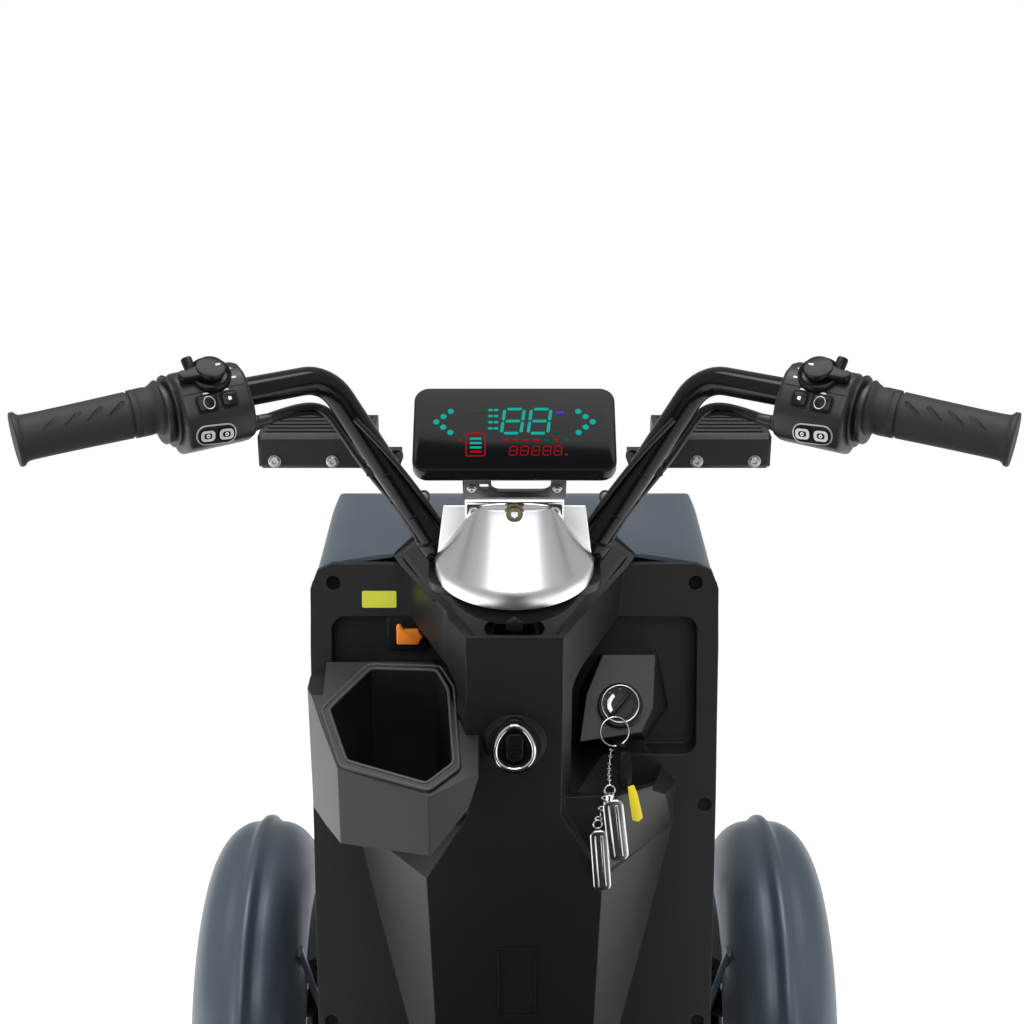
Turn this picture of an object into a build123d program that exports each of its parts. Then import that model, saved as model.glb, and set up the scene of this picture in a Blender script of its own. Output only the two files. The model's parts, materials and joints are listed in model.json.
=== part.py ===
"""Four-wheel mobility scooter, built as separate named pieces in one frame.

Millimetres. +Y is forward, +X is the rider's right, +Z is up. The origin is on the
ground, under the middle of the vehicle. Left and right are the rider's.
"""
import math
import os

from build123d import *

# ---- driving dimensions -------------------------------------------------------------

# wheels and axles
TYRE_R = 183.0            # 3.00-8 type tyre on an 8 inch rim
BEAD_R = 101.0            # where the tyre sits on the rim
HUB_BORE_R = 8.5
TRACK_X = 272.0           # centre plane of every wheel
AXLE_Z = TYRE_R
FRONT_Y = 595.0           # front axle
REAR_Y = -560.0           # rear axle
SPINDLE_R = HUB_BORE_R - 0.05

# kingpins
KINGPIN_X = 210.0
KINGPIN_R = 8.0
KNUCKLE_HALF = 38.0       # half the height of the knuckle between the yoke's ears
EAR_T = 10.0              # thickness of a yoke ear
EAR_GAP = 1.0

# fenders
FENDER_R = 200.0          # top of the fender's skin above the axle
FENDER_HALF = 72.0
FENDER_T = 3.0

# steering arms
STEER_ARM = 75.0          # from the kingpin back to the tie rod
ARM_LEVEL = (152.0, 161.0)
LUG_X = 207.0             # where the fender's stay lies on the knuckle

# frame
RAIL_X = 80.0
RAIL_W = 30.0
RAIL_TOP = 160.0
RAIL_BOTTOM = 120.0
RAIL_FRONT = 690.0
RAIL_REAR = -690.0
TOWER_Z = 372.0           # top mount of the front shock absorbers
REAR_BAR_Z = 440.0        # top mount of the rear ones, and the seat's frame
SHOCK_LOW = 215.0

# steering
RAKE = 12.0               # the column leans back by this many degrees
CLAMP_Y = 309.0           # the axis at the handlebar clamp
CLAMP_Z = 850.0
COLUMN_R = 18.0
HEAD_R = 26.0
HEAD_LOW = -330.0         # the head tube's ends, along the axis from the clamp
HEAD_HIGH = -150.0
PITMAN_HEIGHT = -600.0
PITMAN_R = 60.0

# handlebar
BAR_R = 11.0
GRIP_R = 16.5
FLANGE_R = 22.0
GRIP_END_X = 352.0
CROWN_LOW = -28.0         # the crown plate, along the axis from the clamp
CROWN_T = 8.0
COVER_R = 62.0            # the chrome cover's round rim
COVER_LOW = -19.0
COVER_HIGH = 39.0

# wiring between the switches and the crown
CABLE_R = 4.0
CABLE_HIGH = (140, 348, 940)
CABLE_LOW = (78, 347, 856)

# floor and body
FLOOR_Z = 205.0
FLOOR_T = 6.0
FLOOR_HALF = 240.0
FLOOR_BACK = -245.0
SHIELD_HALF = 175.0
COWL_WALL = 3.5
COLLAR_Z = 806.0          # rim of the collar round the column
RECESS_TOP = 757.0
RECESS_DEEP = 18.0
HOOK_Z = 711.0
POCKET_ROOT = 650.0         # up to here the pocket passes through the spine's flank
POCKET_LEDGE = 712.0      # the step behind the pocket's rim
CHIN_HALF = 104.0
LAMP_AT = (0, 712, 590)   # back of the headlight's rim
LAMP_R = 62.0
LOCK_AT = (89, 330, 697)  # centre of the ignition lock's face
LOCK_WAY = (0, -0.8, 0.6)
BODY_HALF = 190.0
BODY_TOP = 470.0
BODY_BACK = -690.0

# seat
SEAT_POST_Y = -300.0
SEAT_POST_R = 24.0
SPIGOT_R = 12.0
SWIVEL_Z = 512.0          # where the seat turns on its post
CUSHION_HALF = 225.0
CUSHION_FRONT = -60.0
CUSHION_BACK = -490.0
ARM_X = 252.0
ARM_PIVOT_Y = -583.0
ARM_PIVOT_Z = 735.0
ARM_PIN_R = 9.0

# rear box
BOX_HALF = 190.0
BOX_FRONT = -660.0
BOX_BACK = -800.0
BOX_LOW = 482.0
BOX_TOP = 660.0
BOX_WALL = 4.0
LID_H = 36.0
HINGE_Y = BOX_FRONT + 7
HINGE_Z = BOX_TOP + 2
HINGE_PIN_R = 3.0


# ---- helpers ------------------------------------------------------------------------

def side_prism(points, x_low, x_high):
    """A solid with a side outline of (Y, Z) points, from x_low to x_high."""
    outline = make_face(Polyline(*points, close=True))
    return extrude(Plane.YZ.offset(x_low) * outline, amount=x_high - x_low)


def plan_prism(points, z_low, z_high):
    """A solid with a plan outline of (X, Y) points, from z_low to z_high."""
    outline = make_face(Polyline(*points, close=True))
    return extrude(Plane.XY.offset(z_low) * outline, amount=z_high - z_low)


def front_prism(points, y_low, y_high):
    """A solid with a front outline of (X, Z) points, from y_low to y_high."""
    outline = make_face(Polyline(*points, close=True))
    return extrude(Plane.XZ.offset(-y_low) * outline, amount=y_low - y_high)


def block(x, y, z):
    """A box from three (low, high) pairs."""
    size = [high - low for low, high in (x, y, z)]
    centre = [(low + high) / 2 for low, high in (x, y, z)]
    return Pos(*centre) * Box(*size)


def rod(start, end, radius):
    """A round bar from one point to another."""
    start = Vector(*start)
    end = Vector(*end)
    way = end - start
    return Solid.make_cylinder(radius, way.length, Plane(origin=start, z_dir=way))


def side_bar(points, width, x_low, x_high):
    """A flat bar that follows (Y, Z) points, from x_low to x_high."""
    outline = trace(Polyline(*points), line_width=width)
    return extrude(Plane.YZ.offset(x_low) * outline, amount=x_high - x_low)


def pipe(points, bend, radius):
    """A round bar through points, its corners bent to a radius."""
    path = FilletPolyline(*points, radius=bend)
    start = Plane(origin=path @ 0, z_dir=path % 0)
    return sweep(start * Circle(radius), path=path)


def both_sides(shape):
    """The shape and its mirror image on the other side of the vehicle."""
    return [shape, mirror(shape, about=Plane.YZ)]


def union(shapes):
    """Everything fused into one shape."""
    first, *rest = shapes
    for shape in rest:
        first = first + shape
    return first


def steer_point(height, forward=0.0, side=0.0):
    """A point by its height along the steering axis above the clamp, its distance
    forward square to the axis, and its distance to the side."""
    rake = math.radians(RAKE)
    y = CLAMP_Y - height * math.sin(rake) + forward * math.cos(rake)
    z = CLAMP_Z + height * math.cos(rake) + forward * math.sin(rake)
    return (side, y, z)


def steer_plane(height):
    """The plane square to the steering axis at a height above the clamp."""
    rake = math.radians(RAKE)
    up = (0, -math.sin(rake), math.cos(rake))
    return Plane(origin=steer_point(height), x_dir=(1, 0, 0), z_dir=up)


NODES = {}


def keep(name, shape):
    """File a finished piece under its node's name."""
    NODES[name] = shape


# ---- wheels -------------------------------------------------------------------------

def bowed(start, end, sag, steps):
    """Points along a shallow arc from start to end that bows to the left by sag."""
    (x0, y0), (x1, y1) = start, end
    dx, dy = x1 - x0, y1 - y0
    points = []
    for step in range(steps + 1):
        along = step / steps
        out = 4 * sag * along * (1 - along) / math.hypot(dx, dy)
        points.append((x0 + dx * along - dy * out, y0 + dy * along + dx * out))
    return points


def turned(outline, arc=360):
    """An outline of (X, radius) points turned about the X axis."""
    return revolve(Plane.XZ * make_face(Polyline(*outline, close=True)), Axis.X, arc)


def mirrored_outline(half):
    """A closed outline from its right half, mirrored to the left."""
    return half + [(-x, r) for x, r in reversed(half) if x > 0]


def tyre_shape():
    """A tyre with a rounded crown and bulging walls, about the X axis at the origin."""
    shoulder = (34, TYRE_R - 12)
    outside = bowed((0, TYRE_R), shoulder, 2.5, 3) + bowed(shoulder, (30, BEAD_R + 8), 12, 5)[1:]
    inside = [(30, BEAD_R), (20, BEAD_R), (32, 140), (20, TYRE_R - 18)]
    return turned(mirrored_outline(outside + inside))


def rim_shape():
    """A cast rim: barrel with flanges, five broad spokes and a hub with a bore."""
    barrel_profile = [
        (-30, BEAD_R), (-30, 90), (-22, 86), (22, 86), (30, 90), (30, BEAD_R),
        (20, BEAD_R), (16, 94), (-16, 94), (-20, BEAD_R),
    ]
    barrel = turned(barrel_profile)
    hub_profile = [(-30, HUB_BORE_R), (26, HUB_BORE_R), (26, 24), (-30, 30)]
    hub = turned(hub_profile)
    spoke_profile = [(2, 20), (2, 88), (14, 88), (20, 20)]
    disc = turned(spoke_profile)
    window = plan_prism([(-14, 74), (14, 74), (8, 40), (-8, 40)], -60, 60)
    window = Plane.YZ * window
    for turn in range(5):
        disc = disc - Rot(turn * 72, 0, 0) * window
    return barrel + hub + disc


def wheels():
    """Four wheels, each a tyre on its own rim."""
    places = {
        "front_left": (-TRACK_X, FRONT_Y),
        "front_right": (TRACK_X, FRONT_Y),
        "rear_left": (-TRACK_X, REAR_Y),
        "rear_right": (TRACK_X, REAR_Y),
    }
    tyre = tyre_shape()
    rim = rim_shape()
    for place, (x, y) in places.items():
        outward = Rot(0, 0, 180) if x < 0 else Rot(0, 0, 0)
        keep("tyre_" + place, Pos(x, y, AXLE_Z) * outward * tyre)
        keep("rim_" + place, Pos(x, y, AXLE_Z) * outward * rim)


# ---- front axle, knuckles and fenders -----------------------------------------------

def front_axle():
    """A beam axle between the wheels with a forked yoke and a kingpin at each end."""
    beam = block((-175, 175), (FRONT_Y - 20, FRONT_Y + 20), (AXLE_Z - 20, AXLE_Z + 20))
    parts = [beam]
    reach = KNUCKLE_HALF + EAR_GAP
    for side in (-1, 1):
        x = side * KINGPIN_X
        inner = sorted((side * 163, side * 175))
        parts.append(block(inner, (FRONT_Y - 20, FRONT_Y + 20),
                           (AXLE_Z - reach - EAR_T, AXLE_Z + reach + EAR_T)))
        for level in (AXLE_Z - reach - EAR_T, AXLE_Z + reach):
            span = sorted((side * 170, x))
            ear = block(span, (FRONT_Y - 18, FRONT_Y + 18), (level, level + EAR_T))
            eye = Pos(x, FRONT_Y, level + EAR_T / 2) * Cylinder(18, EAR_T)
            parts.append(ear + eye)
        pin_top = AXLE_Z + reach + EAR_T + 4
        pin_low = AXLE_Z - reach - EAR_T - 4
        parts.append(rod((x, FRONT_Y, pin_low), (x, FRONT_Y, pin_top), KINGPIN_R))
    for shape in both_sides(block((RAIL_X - 12, RAIL_X + 12), (FRONT_Y - 16, FRONT_Y + 16),
                                  (RAIL_TOP, AXLE_Z))):
        parts.append(shape)
    keep("front_axle", union(parts))


def knuckle_shape():
    """The right knuckle: kingpin barrel, wheel spindle, steering arm and fender lugs."""
    barrel = Pos(KINGPIN_X, FRONT_Y, AXLE_Z) * Cylinder(16, 2 * KNUCKLE_HALF)
    boss = rod((KINGPIN_X, FRONT_Y, AXLE_Z), (TRACK_X - 32, FRONT_Y, AXLE_Z), 15)
    spindle = rod((KINGPIN_X, FRONT_Y, AXLE_Z), (TRACK_X + 38, FRONT_Y, AXLE_Z), SPINDLE_R)
    nut = rod((TRACK_X + 27, FRONT_Y, AXLE_Z), (TRACK_X + 36, FRONT_Y, AXLE_Z), 13)
    arm_end = FRONT_Y - STEER_ARM
    arm = block((KINGPIN_X - 9, KINGPIN_X + 9), (arm_end, FRONT_Y), ARM_LEVEL)
    arm = arm + Pos(KINGPIN_X, arm_end, sum(ARM_LEVEL) / 2) * Cylinder(12, 9)
    lugs = block((LUG_X, LUG_X + 6), (FRONT_Y - 36, FRONT_Y + 36), (AXLE_Z, AXLE_Z + 20))
    shape = barrel + boss + spindle + nut + arm + lugs
    bore = Pos(KINGPIN_X, FRONT_Y, AXLE_Z) * Cylinder(KINGPIN_R + 0.05, 4 * KNUCKLE_HALF)
    return shape - bore


def fender_skin(front_angle, rear_angle):
    """Half-round fender skin with a raised ridge along its crown, on the X axis."""
    brim = (FENDER_HALF, FENDER_R - 62)
    foot = (16, FENDER_R - 6)
    outside = [(0, FENDER_R + 2), (9, FENDER_R)] + bowed(foot, brim, 17, 6)
    inside = [(x - FENDER_T * min(1, x / 40), r - FENDER_T) for x, r in outside[1:]]
    inside[-1] = (FENDER_HALF - FENDER_T, brim[1])
    inside.reverse()
    half = outside + inside + [(0, FENDER_R + 2 - FENDER_T)]
    skin = turned(half + [(-x, r) for x, r in reversed(half) if x > 0], front_angle + rear_angle)
    return Rot(-front_angle, 0, 0) * skin


def front_fender():
    """The right front fender, with two flat stays that bolt it to the knuckle's lugs."""
    skin = Pos(TRACK_X, FRONT_Y, AXLE_Z) * fender_skin(52, 86)
    for way in (-1, 1):
        points = [(FRONT_Y + way * 20, AXLE_Z + 10), (FRONT_Y + way * 44, AXLE_Z + 14),
                  (FRONT_Y + way * 96, AXLE_Z + 146)]
        skin = skin + side_bar(points, 14, LUG_X - 6, LUG_X)
    return skin


def front_corners():
    """Knuckles and fenders, right and mirrored left."""
    knuckle = knuckle_shape()
    fender = front_fender()
    keep("knuckle_right", knuckle)
    keep("knuckle_left", mirror(knuckle, about=Plane.YZ))
    keep("front_fender_right", fender)
    keep("front_fender_left", mirror(fender, about=Plane.YZ))


def tie_rod():
    """The cross rod between the steering arms, with the arm back to the column."""
    y = FRONT_Y - STEER_ARM
    z = ARM_LEVEL[1] + 11
    parts = [rod((-KINGPIN_X + 6, y, z), (KINGPIN_X - 6, y, z), 6)]
    for side in (-1, 1):
        parts.append(Pos(side * KINGPIN_X, y, z) * Cylinder(11, 18))
    end = steer_point(PITMAN_HEIGHT, -PITMAN_R)
    low = end[2] - 22
    parts.append(side_bar([(y, z), (y - 60, z + 4), (end[1], low)], 12, -8, 8))
    parts.append(Pos(0, end[1], low) * Cylinder(13, 14))
    keep("tie_rod", union(parts))


# ---- rear axle ----------------------------------------------------------------------

def rear_axle():
    """Rear axle tube with stub axles, gear case and motor in one unit."""
    tube_end = TRACK_X - 32
    parts = [
        rod((-tube_end, REAR_Y, AXLE_Z), (tube_end, REAR_Y, AXLE_Z), 22),
        rod((-TRACK_X - 38, REAR_Y, AXLE_Z), (TRACK_X + 38, REAR_Y, AXLE_Z), SPINDLE_R),
        Pos(0, REAR_Y, AXLE_Z) * Rot(0, 90, 0) * Cylinder(62, 84),
        rod((0, REAR_Y, AXLE_Z), (0, REAR_Y + 210, AXLE_Z), 50),
        rod((0, REAR_Y + 210, AXLE_Z), (0, REAR_Y + 222, AXLE_Z), 42),
    ]
    for side in (-1, 1):
        parts.append(rod((side * (TRACK_X + 27), REAR_Y, AXLE_Z),
                         (side * (TRACK_X + 36), REAR_Y, AXLE_Z), 13))
        parts.append(block(sorted((side * 70, side * 90)), (REAR_Y - 20, REAR_Y + 20),
                           (RAIL_TOP, AXLE_Z)))
        parts.append(block(sorted((side * 122, side * 138)), (REAR_Y - 12, REAR_Y + 12),
                           (AXLE_Z, SHOCK_LOW)))
    keep("rear_axle", union(parts))


def shock(low, high):
    """A coil-over damper between two points: rod, body, spring coils and end eyes."""
    axis = Vector(*high) - Vector(*low)
    length = axis.length
    radius = 15
    coils = 6
    pitch = (length - 60) / coils
    outline = [(0, 14), (radius + 3, 14), (radius + 3, 20)]
    for turn in range(coils):
        base = 24 + turn * pitch
        outline += [(9, base), (radius, base + 0.3 * pitch), (radius, base + 0.6 * pitch)]
    outline += [(9, length - 34), (radius + 3, length - 30), (radius + 3, length - 20)]
    outline += [(9, length - 20), (9, length - 10), (0, length - 10)]
    spring = revolve(Plane.XZ * make_face(Polyline(*outline, close=True)), Axis.Z)
    eyes = Rot(0, 90, 0) * Cylinder(9, 20)
    shape = spring + Pos(0, 0, 9) * eyes + Pos(0, 0, length - 9) * eyes
    return Plane(origin=low, z_dir=axis).location * shape


def shock_absorbers():
    """Four coil-overs: front axle to the front tower, rear axle to the seat frame."""
    front = shock((RAIL_X, FRONT_Y, AXLE_Z + 19), (RAIL_X - 14, FRONT_Y - 30, TOWER_Z - 4))
    rear = shock((130, REAR_Y, SHOCK_LOW - 1), (130, REAR_Y + 20, REAR_BAR_Z - 11))
    front = front - NODES["front_axle"] - NODES["main_frame"]
    rear = rear - NODES["rear_axle"] - NODES["main_frame"]
    keep("shock_absorbers", Compound(children=both_sides(front) + both_sides(rear)))


# ---- frame --------------------------------------------------------------------------

def main_frame():
    """Welded frame: two box rails, cross members, head tube, front tower, rear hoops."""
    parts = []
    for side in (-1, 1):
        x = sorted((side * (RAIL_X - RAIL_W / 2), side * (RAIL_X + RAIL_W / 2)))
        parts.append(block(x, (RAIL_REAR, RAIL_FRONT), (RAIL_BOTTOM, RAIL_TOP)))
    inner = RAIL_X - RAIL_W / 2
    for y in (RAIL_FRONT - 20, 470, SEAT_POST_Y + 40, RAIL_REAR + 20):
        parts.append(block((-inner, inner), (y - 15, y + 15), (RAIL_BOTTOM + 5, RAIL_TOP - 5)))
    for y in (180, -20, -220):
        parts.append(block((-215, 215), (y - 15, y + 15), (RAIL_TOP, FLOOR_Z - FLOOR_T)))
    head_low = steer_point(HEAD_LOW)
    head_high = steer_point(HEAD_HIGH)
    parts.append(rod(head_low, head_high, HEAD_R))
    tower_y = FRONT_Y - 30
    for side in (-1, 1):
        foot = (side * (RAIL_X - 4), RAIL_FRONT - 40, RAIL_TOP - 4)
        tower = (side * 66, tower_y + 34, TOWER_Z)
        parts.append(pipe([foot, tower, steer_point(HEAD_LOW + 80, 14, side * 18)], 40, 12))
        parts.append(rod((side * (RAIL_X - 4), 430, RAIL_TOP - 4),
                         steer_point(HEAD_LOW + 40, -4, side * 30), 10))
        hoop = [(side * RAIL_X, -640, RAIL_TOP - 4), (side * RAIL_X, -640, REAR_BAR_Z),
                (side * RAIL_X, -285, REAR_BAR_Z), (side * RAIL_X, -285, RAIL_TOP - 4)]
        parts.append(pipe(hoop, 40, 12))
        parts.append(block(sorted((side * 54, side * 78)), (tower_y - 14, tower_y + 30),
                           (TOWER_Z - 4, TOWER_Z + 4)))
    parts.append(rod((-60, tower_y + 22, TOWER_Z - 2), (60, tower_y + 22, TOWER_Z - 2), 10))
    parts.append(rod((-150, REAR_Y + 20, REAR_BAR_Z), (150, REAR_Y + 20, REAR_BAR_Z), 12))
    post_plate = block((-RAIL_X - 10, RAIL_X + 10), (SEAT_POST_Y - 45, SEAT_POST_Y + 26),
                       (REAR_BAR_Z + 4, REAR_BAR_Z + 14))
    parts.append(post_plate)
    shape = union(parts)
    shape = shape - rod(steer_point(HEAD_LOW - 5), steer_point(HEAD_HIGH + 5), COLUMN_R + 0.05)
    keep("main_frame", shape)


def bumpers():
    """A round tube hoop at the front and one at the rear, welded to plates."""
    front = [(-95, RAIL_FRONT, 140), (-95, 786, 140), (-95, 800, 300), (95, 800, 300),
             (95, 786, 140), (95, RAIL_FRONT, 140)]
    rear = [(-130, RAIL_REAR, 145), (-130, BOX_BACK + 2, 145), (-130, BOX_BACK + 2, 290),
            (130, BOX_BACK + 2, 290), (130, BOX_BACK + 2, 145), (130, RAIL_REAR, 145)]
    front_tube = pipe(front, 30, 11)
    rear_tube = pipe(rear, 30, 11)
    plate = block((-145, 145), (RAIL_REAR - 6, RAIL_REAR), (124, 166))
    for x in (-30, 30):
        for z in (133, 157):
            plate = plate - rod((x, RAIL_REAR - 10, z), (x, RAIL_REAR + 4, z), 4.25)
    keep("bumpers", Compound(children=[front_tube, rear_tube + plate]))


# ---- floor and leg shield -----------------------------------------------------------

def floor_pan():
    """The foot board: a moulded plate with a skirt and ribs underfoot."""
    half = FLOOR_HALF
    outline = [(-half, FLOOR_BACK), (half, FLOOR_BACK), (half, 215), (SHIELD_HALF + 5, 290),
               (-SHIELD_HALF - 5, 290), (-half, 215)]
    plate = plan_prism(outline, FLOOR_Z - FLOOR_T, FLOOR_Z)
    skirt = plan_prism(outline, FLOOR_Z - 38, FLOOR_Z)
    hollow = [(x * 0.982, y + (4 if y < 0 else -4)) for x, y in outline]
    skirt = skirt - plan_prism(hollow, FLOOR_Z - 40, FLOOR_Z + 1)
    shape = plate + skirt
    for step in range(9):
        y = -210 + step * 42
        shape = shape + block((-190, 190), (y, y + 14), (FLOOR_Z, FLOOR_Z + 3))
    keep("floor_pan", shape)


def shield_line():
    """The side line of the leg shield, from its top edge down to the floor."""
    return [(397, 810), (338, 597), (300, 394), (284, 310), (258, 250), (222, 219),
            (180, FLOOR_Z + 3)]


def shield_band(behind, ahead, x_low=-SHIELD_HALF, x_high=SHIELD_HALF):
    """What lies between two distances from the shield's line, forward being positive."""
    line = shield_line()
    points = [(y + behind, z) for y, z in line] + [(y + ahead, z) for y, z in reversed(line)]
    return side_prism(points, x_low, x_high)


def shield_ahead(distance):
    """All that lies forward of the shield's line by more than a distance."""
    points = [(y + distance, z) for y, z in shield_line()]
    points += [(180 + distance, 100), (900, 100), (900, 900), (397 + distance, 900)]
    return side_prism(points, -300, 300)


def spine_form(wall):
    """The raised middle of the shield, lofted through plan sections, less a wall."""
    w = wall
    sections = []
    for z, front, near, base, far in ((806, 240, 38, 96, 397), (640, 250, 38, 78, 352),
                                      (578, 252, 73, 139, 335), (394, 276, 69, 99, 302),
                                      (250, 234, 62, 84, 260), (212, 190, 60, 82, 216)):
        right = [(near - w, front + w), (base - w, far)]
        if wall:
            right.append((base - w, far + 40))
        outline = mirrored_outline(right)
        sections.append(Plane.XY.offset(z) * make_face(Polyline(*outline, close=True)))
    return loft(sections, ruled=True)


def recess_prism(side, grow):
    """The rounded window of a recess beside the spine, grown all round."""
    window = RectangleRounded(111 + 2 * grow, RECESS_TOP - 640 + 2 * grow, 12 + grow)
    centre = Pos(side * 101.5, (RECESS_TOP + 640) / 2)
    return extrude(Plane.XZ * centre * window, amount=-470)


def recess_tub(side):
    """Walls and back of a recess, let into the sheet and the spine's flank."""
    walls = recess_prism(side, 4) - recess_prism(side, 0)
    walls = walls & (spine_form(0) + shield_band(-2.5, RECESS_DEEP + 4))
    back = recess_prism(side, 4) & shield_band(RECESS_DEEP, RECESS_DEEP + 4)
    return walls + back


def collar_outline(grow):
    """Plan of the collar round the steering column, grown all round."""
    right = [(38, 240), (97, 378), (104, 398), (87, 437), (70, 474)]
    right = [(x + grow, y + (grow if y > 400 else 0)) for x, y in right]
    return right + [(-x, y) for x, y in reversed(right)]


def collar():
    """The dished collar round the steering column, with a hole in its floor."""
    top = Plane.XY.offset(COLLAR_Z)
    floor = Plane.XY.offset(COLLAR_Z - 38)
    rim = make_face(Polyline(*collar_outline(0), close=True))
    well = make_face(Polyline(*collar_outline(-5), close=True))
    centre_y = 330
    outer_low = [(x * 0.55, centre_y + (y - centre_y) * 0.6) for x, y in collar_outline(0)]
    inner_low = [(x * 0.55, centre_y + (y - centre_y) * 0.6) for x, y in collar_outline(-6)]
    outer = loft([top * rim, floor * make_face(Polyline(*outer_low, close=True))], ruled=True)
    raised = Plane.XY.offset(COLLAR_Z + 0.5)
    inner_floor = Plane.XY.offset(COLLAR_Z - 34)
    inner = loft([raised * well, inner_floor * make_face(Polyline(*inner_low, close=True))],
                 ruled=True)
    hole = rod(steer_point(-140), steer_point(0), COLUMN_R + 7)
    return outer - inner - hole


def tray():
    """The small open tray under the ignition lock."""
    low = [(36, 254), (72, 254), (138, 334), (138, 350), (36, 350)]
    high = [(36, 258), (84, 260), (122, 280), (146, 345), (36, 366)]
    inside_low = [(40, 262), (68, 262), (110, 318), (118, 345), (40, 345)]
    inside_high = [(40, 264), (82, 265), (118, 284), (140, 347), (40, 362)]
    outer = loft([Plane.XY.offset(578) * make_face(Polyline(*low, close=True)),
                  Plane.XY.offset(652) * make_face(Polyline(*high, close=True))], ruled=True)
    inner = loft([Plane.XY.offset(612) * make_face(Polyline(*inside_low, close=True)),
                  Plane.XY.offset(652.5) * make_face(Polyline(*inside_high, close=True))],
                 ruled=True)
    falling_end = front_prism([(114, 653), (114, 646), (160, 596), (160, 653)], 240, 400)
    return outer - inner - falling_end


def leg_shield():
    """The black inner panel: a swept sheet with flanged edges, a hollow central spine,
    a recess on each side of it, a tray under the lock and a collar round the column."""
    outline = [(-175, 200), (175, 200), (175, 780), (169, 795), (156, 801), (-156, 801),
               (-169, 795), (-175, 780)]
    front = front_prism(outline, 150, 500)
    sheet = shield_band(-2.5, 2.5) & front
    for edge in both_sides(shield_band(-2.5, 13, SHIELD_HALF - 4, SHIELD_HALF)):
        flange = edge & block((-200, 200), (150, 500), (396, 780))
        sheet = sheet + (flange - NODES["front_cowl"])
    shape = sheet + spine_form(0) - spine_form(4)
    mound = Plane(origin=(0, 250, HOOK_Z), z_dir=(0, -1, 0.06)).location * Cone(32, 22, 24)
    shape = shape + (mound - spine_form(4))
    tray_form = tray() - shield_ahead(2) - spine_form(4)
    shape = shape + tray_form
    for side in (-1, 1):
        shape = shape - (recess_prism(side, 0) - tray_form)
        shape = shape + recess_tub(side)
    shape = shape + collar()
    for x, z in ((155, 785), (165, 597), (163, 396)):
        for side in (-1, 1):
            shape = shape - rod((side * x, 250, z), (side * x, 420, z), 6)
    keep("leg_shield", shape - pocket_hole() - pocket_wall(590, POCKET_ROOT))


def front_cowl():
    """The painted front shell, open at the back and below."""
    lamp_hole = Plane(origin=LAMP_AT, z_dir=(0, 1, 0)).location * Cylinder(LAMP_R + 0.5, 160)
    collar_hole = plan_prism(collar_outline(1.5), 700, 900)
    shell = cowl_form(0) - cowl_form(COWL_WALL) - lamp_hole - collar_hole
    chin = chin_form(0) - chin_form(COWL_WALL)
    keep("front_cowl", shell + chin)


def chin_form(wall):
    """The narrow lower part of the shell between the front wheels, open behind and below."""
    w = wall
    behind = 10 if wall else 0
    top = 392 + behind
    outline = [(560 - behind, top), (688 - w, top), (672 - w, 306), (632 - w, 262 - behind),
               (560 - behind, 262 - behind)]
    return side_prism(outline, -CHIN_HALF + w, CHIN_HALF - w)


def cowl_form(wall):
    """The shell's form as three outlines that meet: side, front and plan."""
    w = wall
    open_edge = 12 if wall else 0
    with BuildSketch(Plane.YZ) as side:
        with BuildLine():
            top = Spline((402 - open_edge, 806 - w), (505, 811 - w), (614, 774 - w),
                         (700 - w, 660), (720 - w, 520))
            front = Line(top @ 1, (688 - w, 392 - open_edge))
            under = Line(front @ 1, (306 - open_edge, 392 - open_edge))
            back = Line(under @ 1, (344 - open_edge, 597))
            Line(back @ 1, top @ 0)
        make_face()
    with BuildSketch(Plane.XZ) as front_view:
        with BuildLine():
            a = Line((-166 + w, 380 - open_edge), (166 - w, 380 - open_edge))
            b = Line(a @ 1, (178 - w, 640))
            c = Line(b @ 1, (176 - w, 762))
            d = ThreePointArc(c @ 1, (168 - w, 787 - w), (146 - w, 801 - w))
            e = ThreePointArc(d @ 1, (0, 813 - w), (-146 + w, 801 - w))
            f = ThreePointArc(e @ 1, (-168 + w, 787 - w), (-176 + w, 762))
            g = Line(f @ 1, (-178 + w, 640))
            Line(g @ 1, a @ 0)
        make_face()
    with BuildSketch(Plane.XY) as plan:
        with BuildLine():
            a = Spline((180 - w, 290), (180 - w, 480), (158 - w, 620), (90 - w, 700),
                       (0, 722 - w), (-90 + w, 700), (-158 + w, 620), (-180 + w, 480),
                       (-180 + w, 290))
            Line(a @ 1, a @ 0)
        make_face()
    side_solid = extrude(side.sketch, amount=200, both=True)
    front_solid = extrude(front_view.sketch, amount=900, both=True)
    plan_solid = extrude(plan.sketch, amount=900)
    return side_solid & front_solid & plan_solid


def headlight():
    """A round lamp in the nose of the shell: bowl, rim and a domed lens."""
    plane = Plane(origin=LAMP_AT, z_dir=(0, 1, 0))
    outline = [(0, -30), (50, -30), (62, 0), (62, 12), (54, 12), (54, 6)]
    ball = (54 ** 2 + 10 ** 2) / 20
    mid_lens = 16 - ball + math.sqrt(ball ** 2 - 27 ** 2)
    with BuildPart() as part:
        with BuildSketch(Plane.XZ):
            with BuildLine():
                side = Polyline(*outline)
                dome = ThreePointArc(side @ 1, (27, mid_lens), (0, 16))
                Line(dome @ 1, side @ 0)
            make_face()
        revolve(axis=Axis.Z)
    keep("headlight", plane.location * part.part)


def below_pocket(rise):
    """All that lies below the pocket's sloping underside, moved up by a rise."""
    points = [(150, 646 + rise), (185, 644 + rise), (420, 590 + rise), (420, 500), (150, 500)]
    return side_prism(points, -200, 0)


def pocket_hole():
    """The inside of the pocket, from its floor up through its mouth."""
    mouth = [(-149, 268), (-118, 311), (-64, 309), (-54, 288), (-47.5, 215), (-68, 195),
             (-131, 217)]
    return plan_prism(mouth, 590, 810) - below_pocket(5)


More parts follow.
